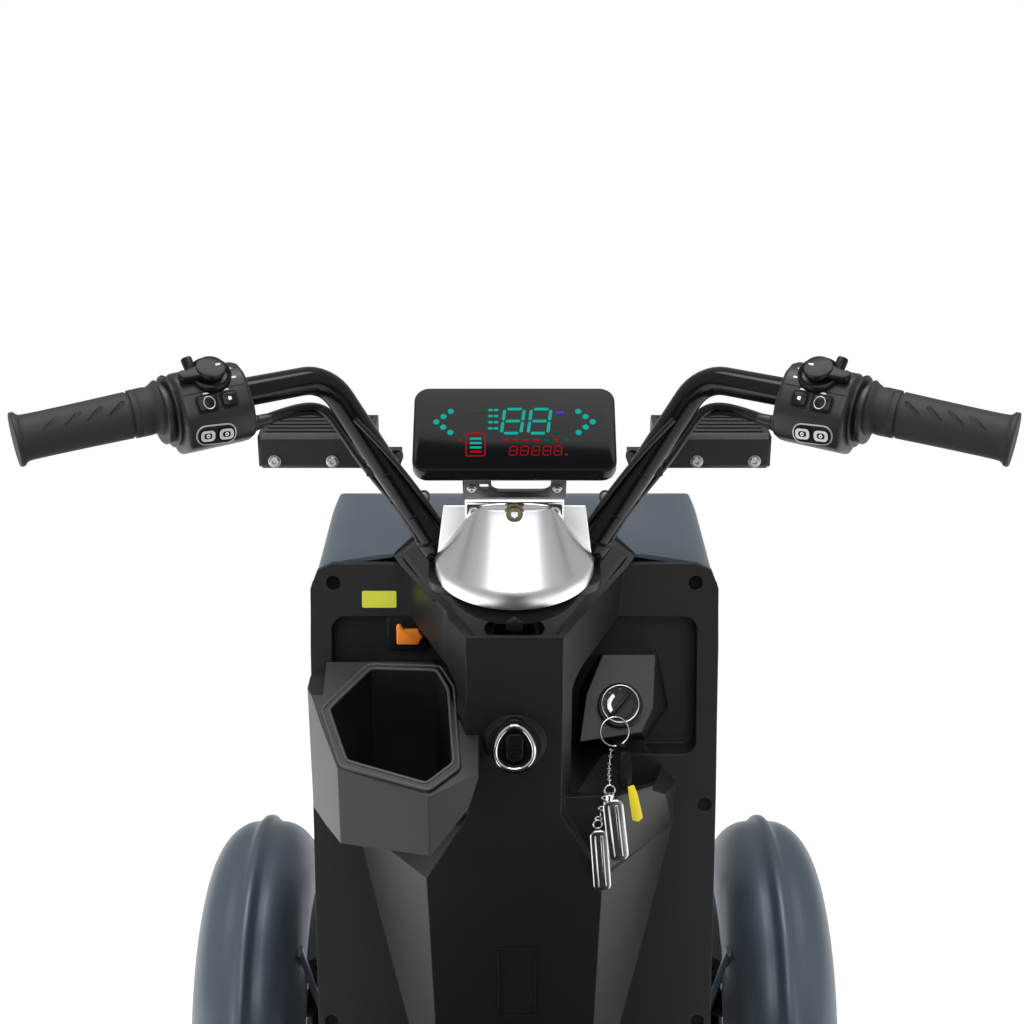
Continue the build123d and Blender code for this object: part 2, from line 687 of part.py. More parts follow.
def pocket_wall(z_low, z_high):
    """The pocket's inner wall, filled in, between two levels."""
    rim = [(-155, 266), (-121, 317), (-61, 315), (-49, 290), (-42, 213), (-67, 189), (-135, 212)]
    return plan_prism(rim, z_low, z_high) - below_pocket(0)


def storage_pocket():
    """The open pocket on the left of the shield, its lip sloping down to the rider."""
    outline = [(-170, 400), (-170, 300), (-154, 254), (-138, 213), (-66, 185), (-28, 207),
               (-28, 262), (-47, 262), (-47, 400)]
    outer = plan_prism(outline, 590, 800) - above_lip(0)
    upper_wall = pocket_wall(640, 800) - above_lip(3)
    ledge = block((-200, 0), (322, 420), (POCKET_LEDGE, 820))
    ledge = ledge + block((-200, -156), (287, 420), (730, 820))
    rise = front_prism([(-66, 643), (-36, 676), (-27, 704), (-20, 704), (-20, 560), (-66, 560)],
                       150, 262)
    shape = (outer + upper_wall - spine_form(0)) + pocket_wall(590, POCKET_ROOT)
    shape = shape - pocket_hole() - below_pocket(0) - rise - ledge
    behind = shape - shield_ahead(-2.5)
    inside = (shape & recess_prism(-1, 0)) - shield_ahead(RECESS_DEEP)
    keep("storage_pocket", behind + inside - NODES["leg_shield"])


def above_lip(rise):
    """All that lies above the pocket's sloping lip by more than a rise."""
    points = [(y, 700 + 0.336 * (y - 194) + rise) for y in (100, 450)]
    return side_prism(points + [(450, 950), (100, 950)], -250, 0)


def lock_plane():
    """The tilted face of the ignition housing, centred on the lock."""
    return Plane(origin=LOCK_AT, x_dir=(1, 0, 0), z_dir=LOCK_WAY)


def ignition():
    """The raised housing in the right recess, with the lock's barrel and key in its face."""
    face = [(-14, 44), (31, 44), (28, -1), (18, -22), (-34, -30), (-28, 10)]
    base = [(74, 712), (126, 712), (142, 661), (119, 622), (52, 622), (56, 680)]
    housing = loft([Plane.XZ.offset(-396) * make_face(Polyline(*base, close=True)),
                    lock_plane() * make_face(Polyline(*face, close=True))], ruled=True)
    housing = housing - shield_ahead(RECESS_DEEP) - NODES["leg_shield"]
    ring = Cylinder(19, 6) - Pos(0, 0, 2) * Cylinder(16, 4)
    barrel = ring + Cylinder(12, 6)
    key = Pos(0, 0, 12) * Rot(0, 0, -45) * Box(6, 26, 18)
    keep("ignition_housing", housing)
    keep("ignition_lock", lock_plane().location * Pos(0, 0, 3) * (barrel + key))


def bag_hook():
    """The chrome-rimmed folding bag hook on the front of the spine."""
    face = Plane(origin=(0, 240, HOOK_Z), x_dir=(1, 0, 0), z_dir=(0, -1, 0.06))
    plate = extrude(Ellipse(17, 24), amount=5)
    ring = extrude(Ellipse(17, 24) - Ellipse(13.5, 20.5), amount=9)
    tongue = Pos(0, 4, 8) * Box(18, 16, 8)
    keep("bag_hook", face.location * (plate + ring + tongue) - NODES["leg_shield"])


def power_socket():
    """The charging socket's plate with its rubber cap, on the back of the left recess."""
    plate = fillet(block((-109, -73), (386, 396), (722, 755)).edges().filter_by(Axis.Y), 3)
    cap = fillet(block((-101, -78), (380, 386), (727, 743)).edges().filter_by(Axis.Y), 2)
    keep("power_socket", (plate + cap) - shield_ahead(RECESS_DEEP) - NODES["leg_shield"])


def rear_body():
    """The painted cover under the seat, open below, with a slanted tail."""
    keep("rear_body", body_form(0) - body_form(4) - seat_post_hole())


def body_form(wall):
    """The cover's form: side outline between two tapered flanks."""
    w = wall
    low = 215 - (10 if wall else 0)
    side = [(FLOOR_BACK - w, low), (FLOOR_BACK - w, 400), (FLOOR_BACK - 26 - w / 2, BODY_TOP - w),
            (BODY_BACK + 30 + w, BODY_TOP - w), (BODY_BACK + w, BODY_TOP - 40),
            (BODY_BACK + 24 + w, low)]
    half = BODY_HALF - w
    front = [(-half, low), (half, low), (half, 400), (half - 16, BODY_TOP), (16 - half, BODY_TOP),
             (-half, 400)]
    flanks = extrude(Plane.XZ * make_face(Polyline(*front, close=True)), amount=900, both=True)
    return side_prism(side, -BODY_HALF, BODY_HALF) & flanks


def seat_post_hole():
    """Room for the seat post through the cover's top."""
    return Pos(0, SEAT_POST_Y, BODY_TOP) * Cylinder(SEAT_POST_R + 4, 60)


def battery_block():
    """The batteries as one plain block over the motor."""
    keep("battery_block", block((-140, 140), (-500, -340), (262, 400)))


def rear_fenders():
    """Fixed half-round fenders over the rear wheels, on brackets from the body."""
    skin = Pos(TRACK_X, REAR_Y, AXLE_Z) * fender_skin(62, 80)
    bracket = block((BODY_HALF, 214), (REAR_Y - 50, REAR_Y + 50), (AXLE_Z + 158, AXLE_Z + 166))
    keep("rear_fenders", Compound(children=both_sides(skin + bracket)))


def tail_lamps():
    """Two tail lamps on the back of the rear body."""
    lamp = block((110, 168), (BODY_BACK - 14, BODY_BACK + 30), (370, 410))
    keep("tail_lamps", Compound(children=both_sides(lamp - body_form(0))))


def seat():
    """The swivelling seat: post, frame, two cushions and the flip-up armrests."""
    post_low = REAR_BAR_Z + 14
    post = Pos(0, SEAT_POST_Y, (post_low + SWIVEL_Z) / 2) * Cylinder(SEAT_POST_R, SWIVEL_Z - post_low)
    spigot = Pos(0, SEAT_POST_Y, SWIVEL_Z + 6) * Cylinder(SPIGOT_R, 12)
    keep("seat_post", post + spigot)

    plate = Pos(0, SEAT_POST_Y, SWIVEL_Z + 7) * Cylinder(60, 12)
    pan = block((-205, 205), (CUSHION_BACK - 6, CUSHION_FRONT - 30), (SWIVEL_Z + 13, SWIVEL_Z + 23))
    parts = [plate, pan]
    for side in (-1, 1):
        x = side * 150
        tube = [(x, CUSHION_BACK + 60, SWIVEL_Z + 12), (x, ARM_PIVOT_Y + 17, SWIVEL_Z + 12),
                (x, ARM_PIVOT_Y - 18, 960)]
        parts.append(pipe(tube, 40, 11))
    parts.append(rod((-ARM_X - 24, ARM_PIVOT_Y, ARM_PIVOT_Z), (ARM_X + 24, ARM_PIVOT_Y, ARM_PIVOT_Z),
                     ARM_PIN_R))
    parts.append(side_prism([(-549.5, 620), (-576, 985), (-590, 985), (-563, 620)], -195, 195))
    frame = union(parts)
    frame = frame - Pos(0, SEAT_POST_Y, SWIVEL_Z + 6) * Cylinder(SPIGOT_R + 0.05, 12.4)
    keep("seat_frame", frame)

    cushion = block((-CUSHION_HALF, CUSHION_HALF), (CUSHION_BACK, CUSHION_FRONT),
                    (SWIVEL_Z + 23.5, 600))
    cushion = fillet(cushion.edges().filter_by(Axis.Z), 40)
    keep("seat_cushion", fillet(cushion.faces().sort_by(Axis.Z)[-1].edges(), 14))
    back = side_prism([(-486, 612), (-548, 612), (-576, 1000), (-506, 1000)], -210, 210)
    keep("back_cushion", fillet(back.edges().filter_by(Axis.Y, tolerance=12), 10))


def armrest():
    """The right armrest: a flat arm on the pivot tube, with a pad on top."""
    arm = side_bar([(ARM_PIVOT_Y, ARM_PIVOT_Z), (ARM_PIVOT_Y + 60, ARM_PIVOT_Z),
                    (ARM_PIVOT_Y + 320, ARM_PIVOT_Z)], 22, ARM_X - 6, ARM_X + 6)
    boss = rod((ARM_X - 12, ARM_PIVOT_Y, ARM_PIVOT_Z), (ARM_X + 12, ARM_PIVOT_Y, ARM_PIVOT_Z), 19)
    pad = block((ARM_X - 22, ARM_X + 22), (ARM_PIVOT_Y + 50, ARM_PIVOT_Y + 330),
                (ARM_PIVOT_Z + 11, ARM_PIVOT_Z + 36))
    pad = fillet(pad.edges().filter_by(Axis.Z), 18)
    hole = rod((ARM_X - 40, ARM_PIVOT_Y, ARM_PIVOT_Z), (ARM_X + 40, ARM_PIVOT_Y, ARM_PIVOT_Z),
               ARM_PIN_R + 0.05)
    return arm + boss + pad - hole


def armrests():
    """Right and left armrests."""
    right = armrest()
    keep("armrest_right", right)
    keep("armrest_left", mirror(right, about=Plane.YZ))


def rear_box():
    """The luggage box behind the seat on its carrier, and its lid."""
    x = (-BOX_HALF, BOX_HALF)
    y = (BOX_BACK, BOX_FRONT)
    shell = fillet(block(x, y, (BOX_LOW, BOX_TOP)).edges().filter_by(Axis.Z), 20)
    inside = fillet(block((x[0] + BOX_WALL, x[1] - BOX_WALL), (y[0] + BOX_WALL, y[1] - BOX_WALL),
                          (BOX_LOW + BOX_WALL, BOX_TOP + 10)).edges().filter_by(Axis.Z), 16)
    bars = [block((side * 100 - 12, side * 100 + 12), (BOX_BACK + 4, -640), (BODY_TOP, BOX_LOW))
            for side in (-1, 1)]
    carrier = bars[0] + bars[1]
    for side in (-1, 1):
        hinge_at = side * 95
        carrier = carrier + rod((hinge_at - 28, HINGE_Y, HINGE_Z), (hinge_at + 28, HINGE_Y, HINGE_Z),
                                HINGE_PIN_R)
        for end in (-24, 24):
            x_ear = hinge_at + end
            ear = rod((x_ear - 4, HINGE_Y, HINGE_Z), (x_ear + 4, HINGE_Y, HINGE_Z), 6)
            foot = block((x_ear - 4, x_ear + 4), (BOX_FRONT, HINGE_Y + 5), (HINGE_Z - 20, HINGE_Z))
            carrier = carrier + ear + foot
    keep("rear_box", shell - inside + carrier)
    lid = fillet(block(x, y, (BOX_TOP + 1, BOX_TOP + LID_H)).edges().filter_by(Axis.Z), 20)
    hollow = fillet(block((x[0] + BOX_WALL, x[1] - BOX_WALL), (y[0] + BOX_WALL, y[1] - BOX_WALL),
                          (BOX_TOP, BOX_TOP + LID_H - BOX_WALL)).edges().filter_by(Axis.Z), 16)
    lid = lid - hollow
    for side in (-1, 1):
        low, high = side * 95 - 19, side * 95 + 19
        leaf = block((low, high), (BOX_FRONT, HINGE_Y), (HINGE_Z + 2, HINGE_Z + 6))
        knuckle = rod((low, HINGE_Y, HINGE_Z), (high, HINGE_Y, HINGE_Z), 6) + leaf
        lid = lid + (knuckle - rod((low - 1, HINGE_Y, HINGE_Z), (high + 1, HINGE_Y, HINGE_Z),
                                   HINGE_PIN_R + 0.05))
    keep("rear_box_lid", lid)


# ---- steering head and handlebar ----------------------------------------------------

def steering_column():
    """The steering shaft with the crown plate above and the pitman arm below."""
    shaft = rod(steer_point(PITMAN_HEIGHT - 6), steer_point(CROWN_LOW + 2), COLUMN_R)
    crown = crown_form()
    arm = steer_plane(PITMAN_HEIGHT).location * Pos(0, -PITMAN_R / 2, 0) * Box(18, PITMAN_R, 10)
    eye = steer_plane(PITMAN_HEIGHT).location * Pos(0, -PITMAN_R, 0) * Cylinder(12, 10)
    keep("steering_column", shaft + crown + arm + eye)


def crown_form():
    """The crown plate that the risers stand on."""
    plate = extrude(RectangleRounded(140, 56, 20), amount=CROWN_T)
    return steer_plane(CROWN_LOW).location * Pos(0, 3, 0) * plate


def bar_points():
    """Corners of the right half of the handlebar, from the grip's end to the crown."""
    foot = steer_point(CROWN_LOW + CROWN_T - 6, 14, 52)
    return [(GRIP_END_X - 2, 189, 986), (251, 232, 996), (146, 322, 990), foot]


def handlebar():
    """Two bent riser tubes that stand on the crown plate."""
    beneath = steer_plane(CROWN_LOW - 40).location * Pos(0, 0, (40 + CROWN_T) / 2)
    half = pipe(bar_points(), 34, BAR_R) - beneath * Box(300, 200, 40 + CROWN_T)
    keep("handlebar", Compound(children=both_sides(half)))


def grip_plane():
    """A plane at the right grip's outer end, looking inwards along the bar."""
    outer = Vector(*bar_points()[0])
    return Plane(origin=outer, z_dir=Vector(*bar_points()[1]) - outer)


def grips():
    """Rubber grips with an end flange and an inner collar."""
    band_r = GRIP_R + 0.8
    outline = [(0, -2), (FLANGE_R, -2), (FLANGE_R - 0.5, 2), (GRIP_R + 1, 10), (GRIP_R, 16),
               (GRIP_R, 80), (band_r, 81), (band_r, 96), (BAR_R, 96), (BAR_R, 0), (0, 0)]
    grip = revolve(Plane.XZ * make_face(Polyline(*outline, close=True)), Axis.Z)
    grip = grip_plane().location * grip
    keep("grips", Compound(children=both_sides(grip)))


def switch_housings():
    """The clamped switch housings inboard of the grips, each with its turn knob, its
    post, two square buttons and a rocker in an oval frame."""
    start = Vector(*bar_points()[1])
    way = Vector(*bar_points()[2]) - start
    plane = Plane(origin=start + way.normalized() * 8, x_dir=(0, -1, 0.6), z_dir=way)
    body = extrude(RectangleRounded(62, 58, 22), amount=52)
    body = fillet(body.faces().sort_by(Axis.Z)[0].edges(), 6)
    body = fillet(body.faces().sort_by(Axis.Z)[-1].edges(), 6)
    collar = Pos(0, 0, -8) * Cylinder(23, 6) + Pos(0, 0, -2.5) * Cylinder(19, 9)
    knob = Pos(19, 17, 27) * Rot(0, 0, 36) * Rot(0, 90, 0) * Cylinder(12, 26)
    lever = Pos(28, 23, 12) * Rot(0, 0, 36) * Box(6, 9, 18)
    post = Pos(-6, 32, 14) * Rot(90, 0, 0) * Cylinder(4.5, 20)
    buttons = [Pos(31, 1, z) * Box(5, 14, 14) for z in (18, 36)]
    rocker = Pos(27, -19, 27) * Rot(0, 0, -25) * Box(9, 13, 30)
    housing = union([body, collar, knob, lever, post, rocker] + buttons)
    housing = plane.location * housing - pipe(bar_points(), 34, BAR_R)
    keep("switch_housings", Compound(children=both_sides(housing)))


def display():
    """The tilted display, its drilled bracket and the strap down to the crown."""
    face = Plane(origin=(0, 249, 973), x_dir=(1, 0, 0), z_dir=(0, -0.6, 0.8))
    screen = extrude(RectangleRounded(150, 75, 11), amount=-14)
    screen = face.location * chamfer(screen.edges().group_by(Axis.Z)[0], 4)
    bracket = side_bar([(258, 950), (286, 912), (300, 892)], 4, -40, 40)
    for x in (-33, 33):
        bracket = bracket - rod((x, 262, 908), (x, 310, 930), 3)
    strap = side_bar([(299, 894), steer_point(CROWN_LOW + CROWN_T, 12)[1:]], 4, -24, 24)
    keep("display", screen + bracket + strap - crown_form())


def steering_cover():
    """The chrome cover over the handlebar clamp: a half cone from a straight edge."""
    keep("steering_cover", cover_form(0) - cover_form(2) - cover_back())


def cover_form(wall):
    """The cover's form, lofted from a wide thin edge to a half-round rim."""
    radius = COVER_R - wall
    rim_low = half_disc(COVER_LOW, radius, radius)
    rim = half_disc(COVER_LOW + 12, radius, radius)
    top = half_disc(COVER_HIGH, 55.5 - wall, 7 - wall)
    return loft([rim_low, rim], ruled=True) + loft([rim, top], ruled=True)


def half_disc(height, half_width, depth):
    """A face square to the steering axis: a flat back and a bulge to the rider."""
    plane = steer_plane(height)
    with BuildSketch(plane) as sketch:
        with BuildLine():
            bulge = ThreePointArc((-half_width, 0), (0, -depth), (half_width, 0))
            Line(bulge @ 1, bulge @ 0)
        make_face()
    return sketch.sketch


def cover_back():
    """The open side of the cover, facing forward."""
    return steer_plane(COVER_LOW).location * Pos(0, -2, -6) * Box(90, 8, 70)


def lamp_blocks():
    """Two auxiliary lamps: finned housings on lugs at the front of the risers."""
    lamp = block((114, 206), (357, 412), (900, 930))
    lamp = chamfer(lamp.edges().filter_by(Axis.X), 4)
    for slot in range(5):
        y = 364 + slot * 9
        lamp = lamp - block((118, 202), (y, y + 4), (925, 931))
    lamp = lamp - block((119, 201), (408, 413), (905, 925))
    riser = rod(bar_points()[2], bar_points()[3], BAR_R)
    lug = block((92, 118), (326, 374), (906, 914))
    lamp = lamp + lug - riser - rod(CABLE_HIGH, CABLE_LOW, CABLE_R + 1.5)
    keep("lamp_blocks", Compound(children=both_sides(lamp)))


def control_cables():
    """The wiring from each switch housing, held along the bar down to the crown."""
    points = [(190, 306, 968), (160, 340, 964), CABLE_HIGH, CABLE_LOW, (72, 347, 836)]
    half = pipe(points, 8, CABLE_R)
    keep("control_cables", Compound(children=both_sides(half)))


def build_all():
    """Make every piece."""
    wheels()
    front_axle()
    front_corners()
    tie_rod()
    rear_axle()
    main_frame()
    shock_absorbers()
    bumpers()
    floor_pan()
    front_cowl()
    leg_shield()
    headlight()
    storage_pocket()
    ignition()
    bag_hook()
    power_socket()
    rear_body()
    battery_block()
    rear_fenders()
    tail_lamps()
    seat()
    armrests()
    rear_box()
    steering_column()
    handlebar()
    grips()
    switch_housings()
    display()
    steering_cover()
    lamp_blocks()
    control_cables()


os.makedirs("parts", exist_ok=True)
build_all()
for node, solid in NODES.items():
    export_step(solid, "parts/" + node + ".step")
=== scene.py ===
# %% [markdown]
# # A four-wheel mobility scooter
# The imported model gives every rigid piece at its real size. This lesson adds the finish:
# paints, mouldings, rubber, chrome, a lit display, tyres with tread and sewn cushions.
# Everything is in metres: +X is the rider's right, +Y is forward, +Z is up.

# %% Load the fixed frame
import json
import math
from contextlib import contextmanager

import bpy
from mathutils import Matrix, Vector


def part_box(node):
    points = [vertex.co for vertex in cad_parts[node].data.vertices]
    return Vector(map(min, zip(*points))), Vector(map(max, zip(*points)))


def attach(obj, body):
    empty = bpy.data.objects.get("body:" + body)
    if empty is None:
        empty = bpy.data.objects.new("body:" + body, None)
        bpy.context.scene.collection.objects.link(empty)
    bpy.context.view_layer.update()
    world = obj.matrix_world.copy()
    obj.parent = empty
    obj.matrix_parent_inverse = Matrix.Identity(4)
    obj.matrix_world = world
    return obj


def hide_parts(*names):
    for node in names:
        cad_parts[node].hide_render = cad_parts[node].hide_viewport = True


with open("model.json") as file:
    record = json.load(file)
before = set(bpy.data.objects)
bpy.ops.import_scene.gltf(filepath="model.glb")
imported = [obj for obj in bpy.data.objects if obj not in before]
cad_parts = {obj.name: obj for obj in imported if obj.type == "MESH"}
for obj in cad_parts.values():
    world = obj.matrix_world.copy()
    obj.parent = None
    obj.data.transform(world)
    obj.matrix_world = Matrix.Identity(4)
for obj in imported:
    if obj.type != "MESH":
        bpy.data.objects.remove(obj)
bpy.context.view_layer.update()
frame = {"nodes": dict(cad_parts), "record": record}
nodes = frame["nodes"]
record = frame["record"]
body_of = {node: body for body, members in record["behaviour"]["bodies"].items() for node in members}
slot_of = {part["node"]: part["material_slot"] for part in record["subparts"]}

# %% [markdown]
# ## The camera
# The rider's own view: from just behind the seat, looking forward and down at the
# handlebar. A small horizontal shift keeps the view's axis level with the steering head
# without turning the camera.

# %% Camera
CAMERA_AT = (0.0, -0.940, 1.387)
CAMERA_TILT = math.radians(68)
CAMERA_LENS = 59.77
CAMERA_SHIFT = -0.00244

camera_data = bpy.data.cameras.new("camera")
camera_data.lens = CAMERA_LENS
camera_data.sensor_width = 36.0
camera_data.shift_x = CAMERA_SHIFT
camera_data.clip_start = 0.02
camera = bpy.data.objects.new("camera", camera_data)
camera.location = CAMERA_AT
camera.rotation_euler = (CAMERA_TILT, 0, 0)
bpy.context.scene.collection.objects.link(camera)
bpy.context.scene.camera = camera
bpy.context.scene.view_settings.view_transform = "Standard"

# %% [markdown]
# ## Light
# A product shot on white: a pale world, one broad lamp overhead, another above the rider,
# and a low one on each side. Broad lamps give soft shadows, and gloss black and chrome need
# something broad to mirror, which here is the two high ones.

# %% World and lamps
def area_lamp(name, place, aim, size, power):
    """A rectangular area lamp that points from its place at its aim."""
    data = bpy.data.lights.new(name, "AREA")
    data.shape = "RECTANGLE"
    data.size, data.size_y = size
    data.energy = power
    lamp = bpy.data.objects.new(name, data)
    lamp.location = place
    lamp.rotation_euler = (Vector(aim) - Vector(place)).to_track_quat("-Z", "Y").to_euler()
    bpy.context.scene.collection.objects.link(lamp)
    return lamp


def white_world(strength):
    """A world that lights softly but shows as white to the camera."""
    world = bpy.data.worlds.new("studio")
    world.use_nodes = True
    bpy.context.scene.world = world
    tree = world.node_tree
    tree.nodes.clear()
    output = tree.nodes.new("ShaderNodeOutputWorld")
    seen = tree.nodes.new("ShaderNodeBackground")
    seen.inputs["Color"].default_value = (1, 1, 1, 1)
    seen.inputs["Strength"].default_value = 1.0
    light = tree.nodes.new("ShaderNodeBackground")
    light.inputs["Color"].default_value = (0.95, 0.97, 1.0, 1)
    light.inputs["Strength"].default_value = strength
    path = tree.nodes.new("ShaderNodeLightPath")
    mix = tree.nodes.new("ShaderNodeMixShader")
    tree.links.new(path.outputs["Is Camera Ray"], mix.inputs["Fac"])
    tree.links.new(light.outputs[0], mix.inputs[1])
    tree.links.new(seen.outputs[0], mix.inputs[2])
    tree.links.new(mix.outputs[0], output.inputs[0])


white_world(0.40)
area_lamp("overhead", (0.0, 0.6, 3.2), (0, 0.1, 0.6), (2.6, 1.6), 56)
# The two low lamps light but are not mirrored: at a flat angle they turned dark panels white.
left_lamp = area_lamp("left_side", (-2.6, -0.3, 1.3), (0, 0.3, 0.6), (1.2, 2.2), 84)
right_lamp = area_lamp("right_side", (2.6, -0.1, 1.6), (0, 0.3, 0.6), (1.0, 2.4), 50)
for low_lamp in (left_lamp, right_lamp):
    low_lamp.visible_glossy = False
area_lamp("above_rider", (0.0, -1.75, 3.1), (0, 0.25, 0.85), (2.6, 1.7), 30)

# %% [markdown]
# ## Floor
# A pale floor that fades to pure white away from the scooter, so that no edge shows. The
# fade is by place on the floor, and near the wheels the plain surface keeps the shadow.

# %% Floor
FADE_START, FADE_END = 0.9, 2.0


def pale_floor():
    """The stage: a wide plane whose colour fades to white from 0.9 m outwards."""
    bpy.ops.mesh.primitive_plane_add(size=60, location=(0, 0, -0.0005))
    floor = bpy.context.object
    floor.name = "floor"
    material = bpy.data.materials.new("studio_floor")
    material.use_nodes = True
    tree = material.node_tree
    tree.nodes.clear()
    output = tree.nodes.new("ShaderNodeOutputMaterial")
    plain = tree.nodes.new("ShaderNodeBsdfDiffuse")
    plain.inputs["Color"].default_value = (0.9, 0.9, 0.9, 1)
    white = tree.nodes.new("ShaderNodeEmission")
    white.inputs["Color"].default_value = (1, 1, 1, 1)
    place = tree.nodes.new("ShaderNodeTexCoord")
    length = tree.nodes.new("ShaderNodeVectorMath")
    length.operation = "LENGTH"
    fade = tree.nodes.new("ShaderNodeMapRange")
    fade.interpolation_type = "SMOOTHSTEP"
    fade.inputs["From Min"].default_value = FADE_START
    fade.inputs["From Max"].default_value = FADE_END
    path = tree.nodes.new("ShaderNodeLightPath")
    seen = tree.nodes.new("ShaderNodeMath")
    seen.operation = "MULTIPLY"
    mix = tree.nodes.new("ShaderNodeMixShader")
    tree.links.new(place.outputs["Object"], length.inputs[0])
    tree.links.new(length.outputs["Value"], fade.inputs["Value"])
    tree.links.new(fade.outputs["Result"], seen.inputs[0])
    tree.links.new(path.outputs["Is Camera Ray"], seen.inputs[1])
    tree.links.new(seen.outputs[0], mix.inputs["Fac"])
    tree.links.new(plain.outputs[0], mix.inputs[1])
    tree.links.new(white.outputs[0], mix.inputs[2])
    tree.links.new(mix.outputs[0], output.inputs["Surface"])
    floor.data.materials.append(material)
    return floor


bpy.ops.object.select_all(action="DESELECT")
floor = pale_floor()

# %% [markdown]
# ## Finishes
# Each finish is a small node tree on Object coordinates: a colour that varies a little
# from place to place, a roughness that varies with it, and a bump for grain. One helper
# builds the tree, so a finish is only the numbers that set it apart from the others.

# %% The finish helper
def finish_nodes(name, color, rough, metal=0.0, coat=0.0, grain=None, drift=0.0, round_edge=0.0,
                 shine=0.5):
    """A Principled material whose tone drifts and whose surface has a fine grain.
    grain is (scale, distance in metres, strength), drift is how far the tone wanders and
    shine is how strongly a non-metal mirrors its surroundings."""
    material = bpy.data.materials.new(name)
    material.use_nodes = True
    tree = material.node_tree
    shader = tree.nodes["Principled BSDF"]
    shader.inputs["Metallic"].default_value = metal
    shader.inputs["Coat Weight"].default_value = coat
    shader.inputs["Coat Roughness"].default_value = 0.08
    shader.inputs["Specular IOR Level"].default_value = shine
    place = tree.nodes.new("ShaderNodeTexCoord")
    cloud = tree.nodes.new("ShaderNodeTexNoise")
    cloud.inputs["Scale"].default_value = 9.0
    cloud.inputs["Detail"].default_value = 5.0
    tree.links.new(place.outputs["Object"], cloud.inputs["Vector"])
    ramp = tree.nodes.new("ShaderNodeValToRGB")
    low = [max(0.0, part * (1 - drift)) for part in color]
    high = [min(1.0, part * (1 + drift)) for part in color]
    ramp.color_ramp.elements[0].position = 0.3
    ramp.color_ramp.elements[0].color = (*low, 1)
    ramp.color_ramp.elements[1].position = 0.7
    ramp.color_ramp.elements[1].color = (*high, 1)
    tree.links.new(cloud.outputs["Fac"], ramp.inputs["Fac"])
    tree.links.new(ramp.outputs["Color"], shader.inputs["Base Color"])
    spread = tree.nodes.new("ShaderNodeMapRange")
    spread.inputs["To Min"].default_value = rough * 0.88
    spread.inputs["To Max"].default_value = min(1.0, rough * 1.12)
    tree.links.new(cloud.outputs["Fac"], spread.inputs["Value"])
    tree.links.new(spread.outputs["Result"], shader.inputs["Roughness"])
    normal = None
    if round_edge:
        rounded = tree.nodes.new("ShaderNodeBevel")
        rounded.samples = 4
        rounded.inputs["Radius"].default_value = round_edge
        normal = rounded.outputs["Normal"]
    if grain:
        scale, distance, strength = grain
        texture = tree.nodes.new("ShaderNodeTexVoronoi")
        texture.inputs["Scale"].default_value = scale
        bump = tree.nodes.new("ShaderNodeBump")
        bump.inputs["Distance"].default_value = distance
        bump.inputs["Strength"].default_value = strength
        tree.links.new(place.outputs["Object"], texture.inputs["Vector"])
        tree.links.new(texture.outputs["Distance"], bump.inputs["Height"])
        if normal:
            tree.links.new(normal, bump.inputs["Normal"])
        normal = bump.outputs["Normal"]
    if normal:
        tree.links.new(normal, shader.inputs["Normal"])
    return material


# %% The scooter's finishes
finishes = {
    "painted_shell": finish_nodes("blue_grey_satin_paint", (0.085, 0.108, 0.130), 0.42, metal=0.55,
                                  coat=0.12, grain=(2600, 0.00006, 0.25), drift=0.10),
    "frame_paint": finish_nodes("black_powder_coat", (0.012, 0.012, 0.013), 0.34,
                                grain=(900, 0.0001, 0.35), drift=0.12, round_edge=0.001),
    "black_moulding": finish_nodes("grained_black_moulding", (0.0075, 0.0076, 0.0082), 0.40,
                                   grain=(1900, 0.00012, 0.5), drift=0.08, round_edge=0.0012,
                                   shine=0.55),
    "chrome_trim": finish_nodes("polished_chrome", (0.93, 0.93, 0.94), 0.035, metal=1.0,
                                drift=0.01),
    "gloss_black": finish_nodes("gloss_black_enamel", (0.005, 0.005, 0.006), 0.15, drift=0.15,
                                shine=0.30),
    "grip_rubber": finish_nodes("grip_rubber", (0.018, 0.019, 0.021), 0.60,
                                grain=(2400, 0.0001, 0.45), drift=0.10, shine=0.35),
    "tyre_rubber": finish_nodes("tyre_rubber", (0.016, 0.016, 0.016), 0.72,
                                grain=(700, 0.0002, 0.4), drift=0.16),
    "rim_metal": finish_nodes("silver_painted_cast_rim", (0.42, 0.43, 0.45), 0.30, metal=0.85,
                              grain=(800, 0.0001, 0.2), drift=0.06, round_edge=0.0015),
    "seat_cover": finish_nodes("black_synthetic_leather", (0.018, 0.018, 0.019), 0.48,
                               grain=(420, 0.0004, 0.55), drift=0.10),
    "arm_pad": finish_nodes("soft_arm_pad", (0.02, 0.02, 0.021), 0.55,
                            grain=(1500, 0.0002, 0.5), drift=0.10, round_edge=0.003),
    "spring_steel": finish_nodes("black_spring_enamel", (0.02, 0.02, 0.022), 0.22, coat=0.3,
                                 drift=0.10),
    "lamp_glass": finish_nodes("clear_lens", (0.85, 0.88, 0.90), 0.08, coat=0.5, drift=0.02),
    "lamp_red": finish_nodes("red_lens", (0.42, 0.008, 0.006), 0.12, coat=0.5, drift=0.06),
    "socket_orange": finish_nodes("orange_rubber_cap", (0.95, 0.27, 0.03), 0.5,
                                  grain=(900, 0.0001, 0.3), drift=0.05, round_edge=0.0006),
    "battery_case": finish_nodes("grey_battery_case", (0.05, 0.055, 0.06), 0.55,
                                 grain=(1200, 0.0001, 0.3), drift=0.08, round_edge=0.002),
}

for node, cad in nodes.items():
    cad.data.materials.clear()
    cad.data.materials.append(finishes[slot_of[node]])
print("finishes", len(finishes))

